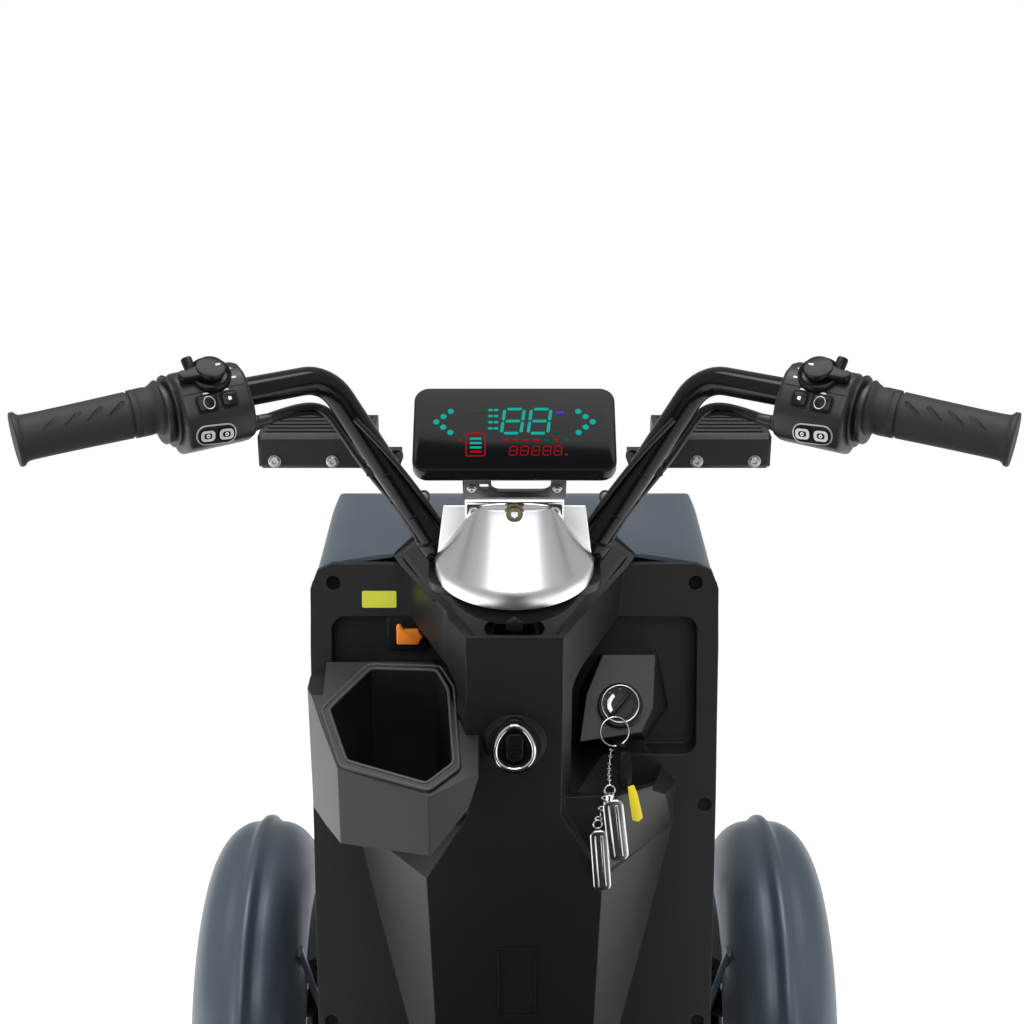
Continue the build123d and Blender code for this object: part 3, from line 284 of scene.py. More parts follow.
# %% [markdown]
# ## Modelling helpers
# Each helper is one habit from the 3D view: deselect all, add a primitive, shape it, put
# its place into its mesh. An operator acts on whatever is selected, so each begins by
# deselecting, and a finished piece always sits at the world's origin.
#
# A fault is left in: some pieces below are placed by axes_at with parallel directions, so
# they are flattened and do not show. They are the armrests' bosses and pins, the dampers'
# eyes, the wheels' nuts and dust caps, the bolts on the front fenders' stays and the screws
# in the lamps' end caps. The hole in the key's bow is not cut for the same reason.

# %% Helpers: placing a piece
def fresh():
    """Object mode, with nothing selected."""
    if bpy.context.mode != "OBJECT":
        bpy.ops.object.mode_set(mode="OBJECT")
    bpy.ops.object.select_all(action="DESELECT")


def picked(piece):
    """Object mode, with one piece selected and active."""
    fresh()
    piece.select_set(True)
    bpy.context.view_layer.objects.active = piece


@contextmanager
def edit_mode(piece):
    """Edit mode on one piece, entered with its whole mesh selected."""
    picked(piece)
    bpy.ops.object.mode_set(mode="EDIT")
    bpy.ops.mesh.select_all(action="SELECT")
    yield
    bpy.ops.object.mode_set(mode="OBJECT")


def axes_at(origin, z_way, x_way=(1, 0, 0)):
    """A placing matrix: its Z along one direction, its X as near as can be to another. The
    two must not be parallel, or whatever is placed by it is flattened to a line."""
    z = Vector(z_way).normalized()
    y = z.cross(Vector(x_way)).normalized()
    matrix = Matrix((y.cross(z), y, z)).transposed().to_4x4()
    matrix.translation = Vector(origin)
    return matrix


def settled(piece, place=Matrix()):
    """Moves the object's place into its mesh, then moves the mesh to another frame."""
    piece.data.transform(place @ piece.matrix_basis)
    piece.matrix_basis = Matrix()
    if (place @ Matrix()).determinant() < 0:
        piece.data.flip_normals()
    return piece


def joined(pieces, name):
    """Several pieces made into one object."""
    fresh()
    for piece in pieces:
        piece.select_set(True)
    bpy.context.view_layer.objects.active = pieces[0]
    bpy.ops.object.join()
    pieces[0].name = name
    return pieces[0]


def copied(piece, place=Matrix()):
    """A copy with its own mesh, moved to another frame."""
    twin = piece.copy()
    twin.data = piece.data.copy()
    bpy.context.scene.collection.objects.link(twin)
    return settled(twin, place)


MIRROR = Matrix.Scale(-1, 4, (1, 0, 0))


def both_sides(piece):
    """A piece of the right side joined with its mirror image on the left."""
    return joined([piece, copied(piece, MIRROR)], piece.name)


def dressed(piece, node, finish=None, replaces=False, smooth=34):
    """A finished piece: shaded, painted, riding with its node's body."""
    picked(piece)
    bpy.ops.object.shade_smooth_by_angle(angle=math.radians(smooth))
    piece.data.materials.clear()
    piece.data.materials.append(finish or finishes[slot_of[node]])
    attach(piece, body_of[node])
    if replaces:
        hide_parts(node)
    return piece


# %% Helpers: primitives and modifiers
def applied(piece, kind, **settings):
    """Adds a modifier with these settings and applies it."""
    picked(piece)
    modifier = piece.modifiers.new(kind.lower(), kind)
    for setting, value in settings.items():
        setattr(modifier, setting, value)
    bpy.ops.object.modifier_apply(modifier=modifier.name)
    return piece


def rounded(piece, width, segments=2, angle=30):
    """Bevels the edges that are sharper than an angle."""
    return applied(piece, "BEVEL", width=width, segments=segments, limit_method="ANGLE",
                   angle_limit=math.radians(angle))


def box(size, at=(0, 0, 0), edge=0.0, segments=2):
    """A box with rounded edges."""
    fresh()
    bpy.ops.mesh.primitive_cube_add(size=1, location=at, scale=size)
    piece = settled(bpy.context.object)
    return rounded(piece, edge, segments) if edge else piece


def cut(piece, cutter):
    """Takes one closed mesh out of another."""
    applied(piece, "BOOLEAN", operation="DIFFERENCE", object=cutter, solver="EXACT")
    bpy.data.objects.remove(cutter)
    return piece


def turned(profile, sides=48):
    """A turned piece: a circle extruded ring by ring along Z, then closed at both ends.
    The profile is a list of (radius, height)."""
    fresh()
    radius, height = profile[0]
    bpy.ops.mesh.primitive_circle_add(vertices=sides, radius=radius, location=(0, 0, height))
    piece = settled(bpy.context.object)
    with edit_mode(piece):
        for wider, higher in profile[1:]:
            grow, up = wider / radius, higher - height
            bpy.ops.mesh.extrude_region_move(TRANSFORM_OT_translate={"value": (0, 0, up)})
            bpy.ops.transform.resize(value=(grow, grow, 1), center_override=(0, 0, higher))
            radius, height = wider, higher
        bpy.ops.mesh.select_all(action="SELECT")
        bpy.ops.mesh.fill_holes(sides=0)
        bpy.ops.mesh.normals_make_consistent(inside=False)
    return piece


def slab(outline, depth, edge=0.0, segments=2):
    """A flat plate: a filled outline of (x, y) points extruded upwards by its depth."""
    fresh()
    bpy.ops.mesh.primitive_circle_add(vertices=len(outline), radius=1, fill_type="NGON")
    piece = bpy.context.object
    for vertex, (x, y) in zip(piece.data.vertices, outline):
        vertex.co = (x, y, 0)
    with edit_mode(piece):
        bpy.ops.mesh.extrude_region_move(TRANSFORM_OT_translate={"value": (0, 0, depth)})
        bpy.ops.mesh.select_all(action="SELECT")
        bpy.ops.mesh.normals_make_consistent(inside=False)
    return rounded(piece, edge, segments) if edge else piece


def arc(radius, start, end, steps, centre=(0, 0)):
    """Points of an arc between two angles in degrees, ends included."""
    points = []
    for step in range(steps + 1):
        angle = math.radians(start + (end - start) * step / steps)
        points.append((centre[0] + radius * math.cos(angle), centre[1] + radius * math.sin(angle)))
    return points


def round_rectangle(width, height, radius, steps=5):
    """The outline of a rectangle with round corners, about its centre."""
    x, y = width / 2 - radius, height / 2 - radius
    points = []
    for turn, corner in enumerate(((x, y), (-x, y), (-x, -y), (x, -y))):
        points += arc(radius, 90 * turn, 90 * turn + 90, steps, corner)
    return points


def bent_tube(points, radius, bend=0.0, sides=16, closed=False, name="tube"):
    """A round tube along straight runs joined by bends of a given radius, or with no bend
    radius along a smooth line drawn between the points."""
    curve = bpy.data.curves.new(name, "CURVE")
    curve.dimensions = "3D"
    curve.bevel_depth = radius
    curve.bevel_resolution = sides // 4 - 1
    curve.use_fill_caps = True
    curve.resolution_u = 8
    points = [Vector(point) for point in points]
    if bend:
        spline = curve.splines.new("BEZIER")
        stops = [(points[0], points[0], points[0])]
        for before, corner, after in zip(points, points[1:], points[2:]):
            come = (corner - before).normalized()
            go = (after - corner).normalized()
            turn = come.angle(go)
            reach = bend * math.tan(turn / 2)
            pull = bend * 4 / 3 * math.tan(turn / 4)
            first, last = corner - come * reach, corner + go * reach
            stops += [(first, first, first + come * pull), (last, last - go * pull, last)]
        stops.append((points[-1], points[-1], points[-1]))
        spline.bezier_points.add(len(stops) - 1)
        for knot, (place, left, right) in zip(spline.bezier_points, stops):
            knot.co, knot.handle_left, knot.handle_right = place, left, right
    else:
        spline = curve.splines.new("NURBS")
        spline.points.add(len(points) - 1)
        for knot, place in zip(spline.points, points):
            knot.co = (*place, 1)
        spline.use_endpoint_u = not closed
        spline.use_cyclic_u = closed
        spline.order_u = 4
    piece = bpy.data.objects.new(name, curve)
    bpy.context.scene.collection.objects.link(piece)
    picked(piece)
    bpy.ops.object.convert(target="MESH")
    return bpy.context.object


def ring(radius, thickness, place, stretch=1.0):
    """A wire ring; stretch makes it an oval along the placing frame's Y."""
    fresh()
    bpy.ops.mesh.primitive_torus_add(major_radius=radius, minor_radius=thickness,
                                     major_segments=40, minor_segments=10)
    return settled(bpy.context.object, place @ Matrix.Diagonal((1, stretch, 1, 1)))


def bolt(place, radius, height, sides=32):
    """A screw head on a washer, with a hexagon socket, along the placing frame's Z."""
    head = turned([(radius * 1.25, 0), (radius * 1.25, height * 0.2), (radius, height * 0.22),
                   (radius, height * 0.85), (radius * 0.85, height), (radius * 0.5, height)], sides)
    socket = turned([(radius * 0.45, height * 0.5), (radius * 0.45, height * 1.2)], 6)
    return settled(cut(head, socket), place)


# %% [markdown]
# ## Rounded copies of the plainer pieces
# A moulded or pressed piece never has a knife edge. The frame's meshes stay as they are,
# so a copy is welded, its flat faces are dissolved into single polygons, and a Bevel
# modifier rounds each edge sharper than an angle. The copy then stands for its node.

# %% A rounded copy
FLAT_WITHIN = 1.0


def welded(node):
    """A copy of a CAD node's mesh, merged by distance and with flat areas dissolved."""
    piece = nodes[node].copy()
    piece.data = nodes[node].data.copy()
    piece.parent = None
    piece.name = node + "_finished"
    for key in list(piece.keys()):
        del piece[key]
    bpy.context.scene.collection.objects.link(piece)
    with edit_mode(piece):
        bpy.ops.mesh.remove_doubles(threshold=0.00002)
        bpy.ops.mesh.dissolve_limited(angle_limit=math.radians(FLAT_WITHIN))
    return piece


def edges_rounded(node, width=0.001, segments=2, angle=32, smooth=34, finish=None):
    """A welded, bevelled copy of a CAD node that stands for it. Normals weighted by area
    keep the broad faces flat and leave the turn of light to the bevels."""
    piece = rounded(welded(node), width, segments, angle)
    dressed(piece, node, finish, replaces=True, smooth=smooth)
    return applied(piece, "WEIGHTED_NORMAL", keep_sharp=True, weight=100)


# %% The mouldings, shells and frame pieces
rounding = {
    "leg_shield": 0.0016, "front_cowl": 0.003, "storage_pocket": 0.0014,
    "ignition_housing": 0.002, "floor_pan": 0.0012, "rear_body": 0.003, "rear_box": 0.0015,
    "rear_box_lid": 0.003, "battery_block": 0.004, "main_frame": 0.0008, "front_axle": 0.001,
    "rear_axle": 0.001, "knuckle_left": 0.001, "knuckle_right": 0.001, "tie_rod": 0.0005,
    "bumpers": 0.0006, "steering_column": 0.0008, "seat_post": 0.0008, "seat_frame": 0.0006,
    "lamp_blocks": 0.0008,
}
faceted = ("leg_shield", "storage_pocket", "ignition_housing", "lamp_blocks")
for node, width in rounding.items():
    piece = edges_rounded(node, width, angle=9 if node in faceted else 32)
    print(node, len(piece.data.polygons))

# The column turns inside the head tube, so its copy is drawn 0.5 mm slimmer all round.
AXIS_FOOT, AXIS_WAY = Vector((0, 0.309, 0.850)), Vector((0, -0.2079, 0.9781))
COLUMN_SLIM = 0.0005
for vertex in bpy.data.objects["steering_column_finished"].data.vertices:
    arm = vertex.co - AXIS_FOOT
    out = arm - AXIS_WAY * arm.dot(AXIS_WAY)
    if 0.008 < out.length < 0.035:
        vertex.co -= out.normalized() * COLUMN_SLIM

# %% [markdown]
# ## Handlebar and grips
# The bar is a curve with a round bevel, because its bends have a true radius and a long
# highlight must run down them unbroken. Each grip is a turned form: a flared end, a long
# body and a ribbed band, with four slanted slots taken out of it by capsule cutters.

# %% Handlebar
RAKE = math.radians(12)
CLAMP = Vector((0, 0.309, 0.850))
STEER_UP = Vector((0, -math.sin(RAKE), math.cos(RAKE)))
BAR_R = 0.011
TOWARDS_RIDER = (0, -1, 0.6)


def steer_frame(height, forward=0.0, side=0.0):
    """A frame on the steering axis: Z up the axis, Y forward, X to the right."""
    place = axes_at(CLAMP, STEER_UP)
    return place @ Matrix.Translation((side, forward, height))


riser_foot = steer_frame(-0.026, 0.014, 0.052).translation
bar_line = [Vector((0.350, 0.189, 0.986)), Vector((0.251, 0.232, 0.996)),
            Vector((0.146, 0.322, 0.990)), riser_foot]
bar = bent_tube(bar_line, BAR_R, bend=0.034, sides=32, name="handlebar_tubes")
riser = axes_at(riser_foot, bar_line[2] - riser_foot)
clamp = rounded(turned([(0.0145, 0.008), (0.0145, 0.030)], 40), 0.0012)
clamp = settled(clamp, riser)
pinch = bolt(riser @ axes_at((0.006, -0.014, 0.019), (0, -1, 0)), 0.0032, 0.003)
dressed(both_sides(bar), "handlebar", replaces=True, smooth=50)
dressed(both_sides(joined([clamp, pinch], "riser_clamps")), "handlebar")

# %% Grips
grip_place = axes_at(bar_line[0], bar_line[1] - bar_line[0], TOWARDS_RIDER)
grip = turned([(0.012, -0.0022), (0.0190, -0.0022), (0.0197, -0.0014), (0.0195, 0.0012),
               (0.0178, 0.0026), (0.0168, 0.0044), (0.0165, 0.0080), (0.0164, 0.0180),
               (0.0166, 0.0450), (0.0171, 0.0790), (0.0162, 0.0794), (0.0162, 0.0806),
               (0.0176, 0.0812), (0.0177, 0.0850), (0.0173, 0.0856), (0.0177, 0.0862),
               (0.0177, 0.0925), (0.0172, 0.0950), (0.0190, 0.0985), (0.0208, 0.1010),
               (0.0208, 0.1025), (0.0120, 0.1025)], 64)
for slot_number in range(4):
    along = 0.0235 + 0.0155 * slot_number
    capsule = slab(round_rectangle(0.0155, 0.0036, 0.0017), 0.004)
    lie = axes_at((0.0152, 0.0015, along), (1, 0, 0), (0, 0.62, 0.78))
    grip = cut(grip, settled(capsule, lie))
grip.name = "moulded_grips"
dressed(both_sides(settled(grip, grip_place)), "grips", replaces=True, smooth=40)

# %% [markdown]
# ## Switch housings
# Each housing is the outline of its end view, extruded along the bar and bevelled, with its
# parting line drawn as a fine inlay. The knob, thumb lever, post, buttons and the oval
# frame are separate pieces on it, as on the real one, and pale marks are flat inlays.

# %% Small finishes for the controls
gloss_button = finish_nodes("gloss_button_black", (0.006, 0.006, 0.006), 0.26, drift=0.1,
                            shine=0.22)
# Silver: the real silver edges and rims of the buttons, and a painted highlight on the rocker key.
silver_and_painted_highlight = finish_nodes("silver_print", (0.52, 0.53, 0.55), 0.30, metal=0.6, drift=0.05)
pale_mark = finish_nodes("pale_print", (0.66, 0.67, 0.69), 0.5, drift=0.04)
dull_mark = finish_nodes("grey_print", (0.16, 0.165, 0.175), 0.5, drift=0.08)
# Near black: painted shade in the button wells, the shield's screw holes and the recess round the stem,
# and the real dark of the parting line, the hatch lines and the buttons' centres.
shade_and_joint_black = finish_nodes("deep_black_rubber", (0.003, 0.003, 0.003), 0.9, drift=0.1)
zinc = finish_nodes("zinc_plated_steel", (0.55, 0.55, 0.53), 0.24, metal=1.0,
                    grain=(900, 0.00004, 0.3), drift=0.12)

# %% Housing
first_way = (bar_line[1] - bar_line[0]).normalized()
second_way = (bar_line[2] - bar_line[1]).normalized()
GRIP_LENGTH = 0.104
switch_place = axes_at(bar_line[0] + first_way * GRIP_LENGTH, first_way * 0.65 + second_way * 0.35,
                       TOWARDS_RIDER)
FACE_X, LOW_FACE_X = 0.031, 0.0222


def on_face(up, inward, lift=0.0, turn=0.0, face_x=FACE_X, tilt=0.0):
    """A frame on the housing's rider-facing side: X inwards along the bar, Y up."""
    spot = Matrix.Translation((face_x, up, inward)) @ Matrix.Rotation(math.radians(tilt), 4, "Z")
    face = Matrix(((0, 0, 1, 0), (0, 1, 0, 0), (-1, 0, 0, 0), (0, 0, 0, 1)))
    return spot @ face @ Matrix.Rotation(math.radians(turn), 4, "Z") @ Matrix.Translation((0, 0, lift))


section = [(-0.022, -0.024), (-0.014, -0.034), (0.002, -0.0375), (0.0135, -0.0382),
           (0.0185, -0.0366), (0.0275, -0.0265), (0.0305, -0.0205), (0.0310, -0.0150),
           (0.0310, 0.0010), (0.0290, 0.0075), (0.0215, 0.0160), (0.0120, 0.0205),
           (-0.0080, 0.0210), (-0.0180, 0.0165), (-0.0220, 0.0080)]
shell = slab(section, 0.053, edge=0.0042, segments=5)
shell = settled(shell, Matrix.Translation((0, 0, 0.0050)))
collars = turned([(0.0125, -0.0070), (0.0222, -0.0070), (0.0230, -0.0062), (0.0230, -0.0032),
                  (0.0200, -0.0026), (0.0200, -0.0012), (0.0262, -0.0006), (0.0268, 0.0006),
                  (0.0262, 0.0020), (0.0240, 0.0040), (0.012, 0.0040)], 64)
collars = settled(collars, Matrix.Translation((0.0010, -0.0040, 0.0028)))
boot = turned([(0.0060, 0), (0.0060, 0.006), (0.0045, 0.008), (0.0045, 0.014), (0.0034, 0.018)], 24)
boot = settled(boot, Matrix.Translation((0.004, -0.026, 0.057)))
neck = turned([(0.0165, 0.044), (0.0165, 0.0545), (0.0115, 0.0555)], 40)
neck = settled(neck, switch_place.inverted() @ axes_at(bar_line[1], second_way))
housing = joined([shell, collars, boot, neck], "switch_housing_shells")
housing = settled(housing, switch_place)
dressed(both_sides(housing), "switch_housings", replaces=True, smooth=28)

# %% Controls on the housing
KNOB_LEAN = math.radians(24)
knob_axis = (math.cos(KNOB_LEAN), math.sin(KNOB_LEAN), 0)
knob_place = axes_at((0.0235, 0.0068, 0.0324), knob_axis, (0, 0, 1))
knob = turned([(0.0088, 0.0075), (0.0100, 0.0084), (0.0106, 0.0100), (0.0106, 0.0128),
               (0.0101, 0.0139), (0.0085, 0.0144), (0.0020, 0.0146)], 56)
lever = slab([(0.000, -0.0078), (-0.0100, -0.0052), (-0.0175, -0.0030), (-0.0215, -0.0036),
              (-0.0240, -0.0016), (-0.0244, 0.0016), (-0.0230, 0.0044), (-0.0195, 0.0054),
              (-0.0100, 0.0056), (0.000, 0.0082)], 0.0062, edge=0.0014, segments=3)
lever = settled(lever, Matrix.Translation((0, 0, 0.0066)))
post = turned([(0.0042, -0.004), (0.0042, 0.0085), (0.0036, 0.0098), (0.0010, 0.0101)], 28)
post = settled(post, knob_place.inverted() @ axes_at((0.010, 0.0205, 0.0255), (0, 1, -0.10)))
turning = settled(joined([knob, lever, post], "turn_knobs"), switch_place @ knob_place)
dressed(both_sides(turning), "switch_housings", gloss_button, smooth=45)

knob_ring = turned([(0.0118, -0.0010), (0.0150, -0.0010), (0.0156, 0.0060), (0.0150, 0.0078),
                    (0.0138, 0.0084), (0.0126, 0.0076), (0.0122, 0.0020)], 64)
knob_ring = settled(knob_ring, switch_place @ knob_place)
knob_ring.name = "knob_seats"
dressed(both_sides(knob_ring), "switch_housings", gloss_button)

wells, keys, prints, bright = [], [], [], []
# Each key stands on a near-black slab a little wider than itself: painted shade in the gap round it.
for inward, wide, tall in ((0.0233, 0.0165, 0.0135), (0.0398, 0.0130, 0.0125)):
    wells.append(settled(slab(round_rectangle(wide, tall, 0.0028), 0.0006), on_face(-0.0128, inward)))
    key = slab(round_rectangle(wide - 0.0028, tall - 0.0026, 0.0022), 0.0022, edge=0.0008)
    keys.append(settled(key, on_face(-0.0128, inward)))
LOW = {"face_x": LOW_FACE_X, "tilt": -37.5}
frame_ring = slab(round_rectangle(0.0300, 0.0150, 0.0070, 8), 0.0016, edge=0.0006)
bright.append(settled(frame_ring, on_face(-0.0332, 0.0255, 0.0002, 6, **LOW)))
# Inside the bright oval a near-black inlay: painted shade round its two push buttons.
inlay = slab(round_rectangle(0.0282, 0.0132, 0.0062, 8), 0.0018)
wells.append(settled(inlay, on_face(-0.0332, 0.0255, 0.0003, 6, **LOW)))
for side in (-1, 1):
    place = on_face(-0.0332 - side * 0.0006, 0.0255 + side * 0.0068, 0.0010, 6, **LOW)
    push = slab(round_rectangle(0.0118, 0.0092, 0.0036, 6), 0.0022, edge=0.0008)
    keys.append(settled(push, place))
    rim_mark = slab(round_rectangle(0.0106, 0.0080, 0.0030, 6), 0.0002)
    bright.append(settled(rim_mark, place @ Matrix.Translation((0, 0, 0.0021))))
    core = slab(round_rectangle(0.0058, 0.0042, 0.0016, 6), 0.0003)
    wells.append(settled(core, place @ Matrix.Translation((0, 0, 0.0022))))
    prints.append(ring(0.0010, 0.0004, place @ Matrix.Translation((0, 0, 0.0026))))
wells.append(settled(box((0.046, 0.0005, 0.0004), edge=0), on_face(-0.0035, 0.031)))
for inward, wide in ((0.0243, 0.0042), (0.0317, 0.0022), (0.0397, 0.0040)):
    prints.append(settled(box((wide, 0.0011, 0.0004), edge=0), on_face(-0.0050, inward)))
# A thin silver arc on the rocker key: a painted highlight for the light on its curved face.
painted_rocker_highlight = ring(0.0040, 0.00035, on_face(-0.0128, 0.0243, 0.0022), 1.15)
light_icon = slab([(-0.0013, -0.0011), (0.0008, -0.0016), (0.0013, 0), (0.0008, 0.0016),
                   (-0.0013, 0.0011)], 0.0003)
prints.append(settled(light_icon, on_face(-0.0125, 0.0398, 0.0021)))
pointer = slab([(0.0035, -0.0010), (0.0072, -0.0004), (0.0072, 0.0004), (0.0035, 0.0010)], 0.0003)
prints.append(settled(pointer, knob_place @ Matrix.Translation((0, 0, 0.0145))))
for up, face_x, tilt in ((0.0112, 0.0262, 40), (0.0030, 0.0305, 12)):
    dash = box((0.0036, 0.0014, 0.0006), edge=0)
    prints.append(settled(dash, on_face(up, 0.0478, face_x=face_x, tilt=tilt)))
for parts, name, finish in ((wells, "button_wells", shade_and_joint_black), (keys, "push_buttons", gloss_button),
                            (bright + [painted_rocker_highlight], "button_edges", silver_and_painted_highlight),
                            (prints, "control_marks", pale_mark)):
    group = settled(joined(parts, name), switch_place)
    dressed(both_sides(group), "switch_housings", finish)

# %% [markdown]
# ## Display
# A gloss black slab with round corners. Its lit marks are thin plates that give off their
# own colour: one function draws a seven-bar figure, and a large and a small one are copied.

# %% Display body and bracket
SCREEN_W, SCREEN_H = 0.150, 0.075
screen_place = axes_at((0, 0.249, 0.973), (0, -0.6, 0.8))
screen_black = finish_nodes("screen_black", (0.002, 0.002, 0.0025), 0.13, drift=0.1, shine=0.10)
case = slab(round_rectangle(SCREEN_W, SCREEN_H, 0.011, 8), 0.0135, edge=0.0022, segments=3)
case = settled(case, screen_place @ Matrix.Translation((0, 0, -0.0140)))
case.name = "display_case"
dressed(case, "display", replaces=True)
window = slab(round_rectangle(SCREEN_W - 0.002, SCREEN_H - 0.002, 0.0105, 8), 0.0012, edge=0.0004)
window = settled(window, screen_place @ Matrix.Translation((0, 0, -0.0012)))
window.name = "display_window"
dressed(window, "display", screen_black)

plate = box((0.080, 0.062, 0.003), (0, 0.029, 0), 0.0008)
plate = cut(plate, box((0.046, 0.046, 0.02), (0.005, 0.028, 0), 0.007, 4))
plate = cut(plate, box((0.007, 0.008, 0.02), (-0.0235, 0.044, 0), 0.001, 2))
for side in (-1, 1):
    plate = cut(plate, settled(turned([(0.003, -0.01), (0.003, 0.01)], 24),
                               Matrix.Translation((side * 0.033, 0.046, 0))))
down = Matrix.Translation((0, 0.258, 0.950)) @ Matrix(((1, 0, 0, 0), (0, 0.593, -0.805, 0),
                                                       (0, -0.805, -0.593, 0), (0, 0, 0, 1)))
plate = settled(plate, down)
strap_top, strap_foot = Vector((0, 0.299, 0.894)), steer_frame(-0.020, 0.012).translation
strap_way = strap_foot - strap_top
strap_place = axes_at((strap_top + strap_foot) / 2, strap_way)
strap = box((0.078, 0.004, strap_way.length + 0.006), edge=0.0008)
for side in (-1, 1):
    hole = turned([(0.0048, -0.01), (0.0048, 0.01)], 24)
    hole = settled(hole, axes_at((side * 0.030, 0, strap_way.length / -2 + 0.009), (0, 1, 0)))
    strap = cut(strap, hole)
strap = settled(strap, strap_place)
strap.name = "display_strap"
plate.name = "display_bracket"
dressed(plate, "display", finishes["frame_paint"])
dressed(strap, "display", finishes["chrome_trim"])
screws = []
for side in (-1, 1):
    place = down @ Matrix.Translation((side * 0.033, 0.046, 0.0015))
    screws.append(bolt(place, 0.0030, 0.0022))
dressed(joined(screws, "bracket_screws"), "display", zinc)

# %% Lit marks
def glow(name, color, strength):
    """A mark that gives off its own colour, a little uneven from place to place."""
    material = finish_nodes(name, [part * 0.15 for part in color], 0.4, drift=0.05)
    shader = material.node_tree.nodes["Principled BSDF"]
    shader.inputs["Emission Color"].default_value = (*color, 1)
    shader.inputs["Emission Strength"].default_value = strength
    shader.inputs["Specular IOR Level"].default_value = 0.0
    return material


teal = glow("teal_light", (0.012, 0.38, 0.31), 0.80)
dim_teal = glow("dim_teal_light", (0.004, 0.13, 0.10), 0.6)
red = glow("red_light", (0.55, 0.010, 0.014), 0.42)
violet = glow("violet_light", (0.09, 0.05, 0.42), 0.7)
MARK_T = 0.0002


def bar_mark(u, v, width, height, slope=0.0):
    """One bar of a figure with pointed ends, lying on the screen's plane."""
    long, short = max(width, height) / 2, min(width, height) / 2
    outline = [(-long, 0), (-long + short, short), (long - short, short), (long, 0),
               (long - short, -short), (-long + short, -short)]
    if height > width:
        outline = [(y, x) for x, y in outline]
    return slab([(u + x + slope * (v + y), v + y) for x, y in outline], MARK_T)


def figure(width, height, stroke, slope=0.12):
    """A seven-bar figure with every bar lit, about its centre."""
    gap = stroke * 0.28
    bars = [bar_mark(0, level * height / 2, width - stroke - gap, stroke, slope)
            for level in (-1, 0, 1)]
    for side in (-1, 1):
        for level in (-1, 1):
            bars.append(bar_mark(side * width / 2, level * height / 4, stroke,
                                 height / 2 - gap, slope))
    return joined(bars, "figure")


def dot(u, v, radius):
    """A round lit dot."""
    return settled(slab(arc(radius, 0, 345, 23), MARK_T), Matrix.Translation((u, v, 0)))


def lit(marks, name, finish):
    """Joins marks and lays them on the screen."""
    group = settled(joined(marks, name), screen_place @ Matrix.Translation((0, 0, 0.0001)))
    dressed(group, "display", finish)


arrows = []
for side in (-1, 1):
    for step in range(-2, 3):
        arrows.append(dot(side * (0.058 - 0.0053 * abs(step)), 0.0060 + 0.0047 * step, 0.0023))
large = figure(0.0145, 0.0215, 0.0024)
speed = [settled(large, Matrix.Translation((-0.0012, 0.0067, 0)))]
speed.append(copied(large, Matrix.Translation((0.0198, 0, 0))))
levels = [bar_mark(u, v, 0.0042, 0.0021) for u in (-0.0178, -0.0137)
          for v in (0.0002, 0.0057, 0.0112, 0.0166)]
charge = [box((0.0085, 0.0017, MARK_T), (-0.0286, v, 0)) for v in (-0.0088, -0.0127, -0.0166)]
lit(arrows + speed + levels + charge, "teal_marks", teal)
small = figure(0.0054, 0.0076, 0.0007)
trip = [copied(small, Matrix.Translation((-0.0008 + 0.0082 * step, -0.0196, 0)))
        for step in range(5)]
bpy.data.objects.remove(small)
case_mark = slab(round_rectangle(0.0148, 0.0200, 0.0016), MARK_T)
case_mark = cut(case_mark, settled(slab(round_rectangle(0.0130, 0.0182, 0.0009), 0.001),
                                   Matrix.Translation((0, 0, -0.0004))))
case_mark = settled(case_mark, Matrix.Translation((-0.0286, -0.0145, 0)))
nub = box((0.0058, 0.0014, MARK_T), (-0.0286, -0.0040, 0))
low_bar = box((0.0085, 0.0017, MARK_T), (-0.0286, -0.0203, 0))
lamps = [dot(-0.0397, -0.0104, 0.0012), dot(0.0310, -0.0104, 0.0016), dot(0.0380, -0.0229, 0.0009)]
lamps += [bar_mark(-0.0066 + 0.0076 * step, -0.0104, 0.0046, 0.0018) for step in range(4)]
lit(trip + [case_mark, nub, low_bar] + lamps, "red_marks", red)
hints = [bar_mark(-0.0325 + 0.0030 * step, 0.0155, 0.0022, 0.0010) for step in range(4)]
hints += [bar_mark(0.0312, -0.0032, 0.0050, 0.0010), bar_mark(0.0236, -0.0104, 0.0036, 0.0012),
          dot(0.0384, -0.0100, 0.0014)]
lit(hints, "faint_marks", dim_teal)
lit([bar_mark(0.0350, 0.0143, 0.0050, 0.0026), dot(0.0326, 0.0143, 0.0017)], "violet_mark", violet)

# %% [markdown]
# ## Chrome cover
# A half cone over the handlebar clamp, flat behind, with an upright band at its rim. Half
# of a fine circle is extruded upwards and scaled ring by ring, because chrome shows every
# facet: many small steps keep its reflections smooth.

# %% Chrome cover
COVER_R, COVER_LOW, COVER_HIGH, BAND = 0.062, -0.019, 0.041, 0.0115
COVER_DEPTH = 0.86


def half_cone():
    """The cover's skin, in the frame of its rim: band first, then the narrowing cone."""
    fresh()
    bpy.ops.mesh.primitive_circle_add(vertices=160, radius=COVER_R)
    piece = bpy.context.object
    steps = [(1, 1, BAND)]
    rise = (COVER_HIGH - COVER_LOW - BAND) / 14
    width, depth = 1.0, 1.0
    for step in range(1, 15):
        share = step / 14
        next_width = 1 - 0.53 * share
        next_depth = 1 - 0.86 * share ** 0.96
        steps.append((next_width / width, next_depth / depth, rise))
        width, depth = next_width, next_depth
    height = 0.0
    with edit_mode(piece):
        bpy.ops.mesh.bisect(plane_co=(0, -0.0001, 0), plane_no=(0, 1, 0), clear_outer=True)
        bpy.ops.mesh.select_all(action="SELECT")
        bpy.ops.transform.resize(value=(1, COVER_DEPTH, 1), center_override=(0, 0, 0))
        for across, back, up in steps:
            height += up
            bpy.ops.mesh.extrude_region_move(TRANSFORM_OT_translate={"value": (0, 0, up)})
            bpy.ops.transform.resize(value=(across, back, 1), center_override=(0, 0, height))
    return piece


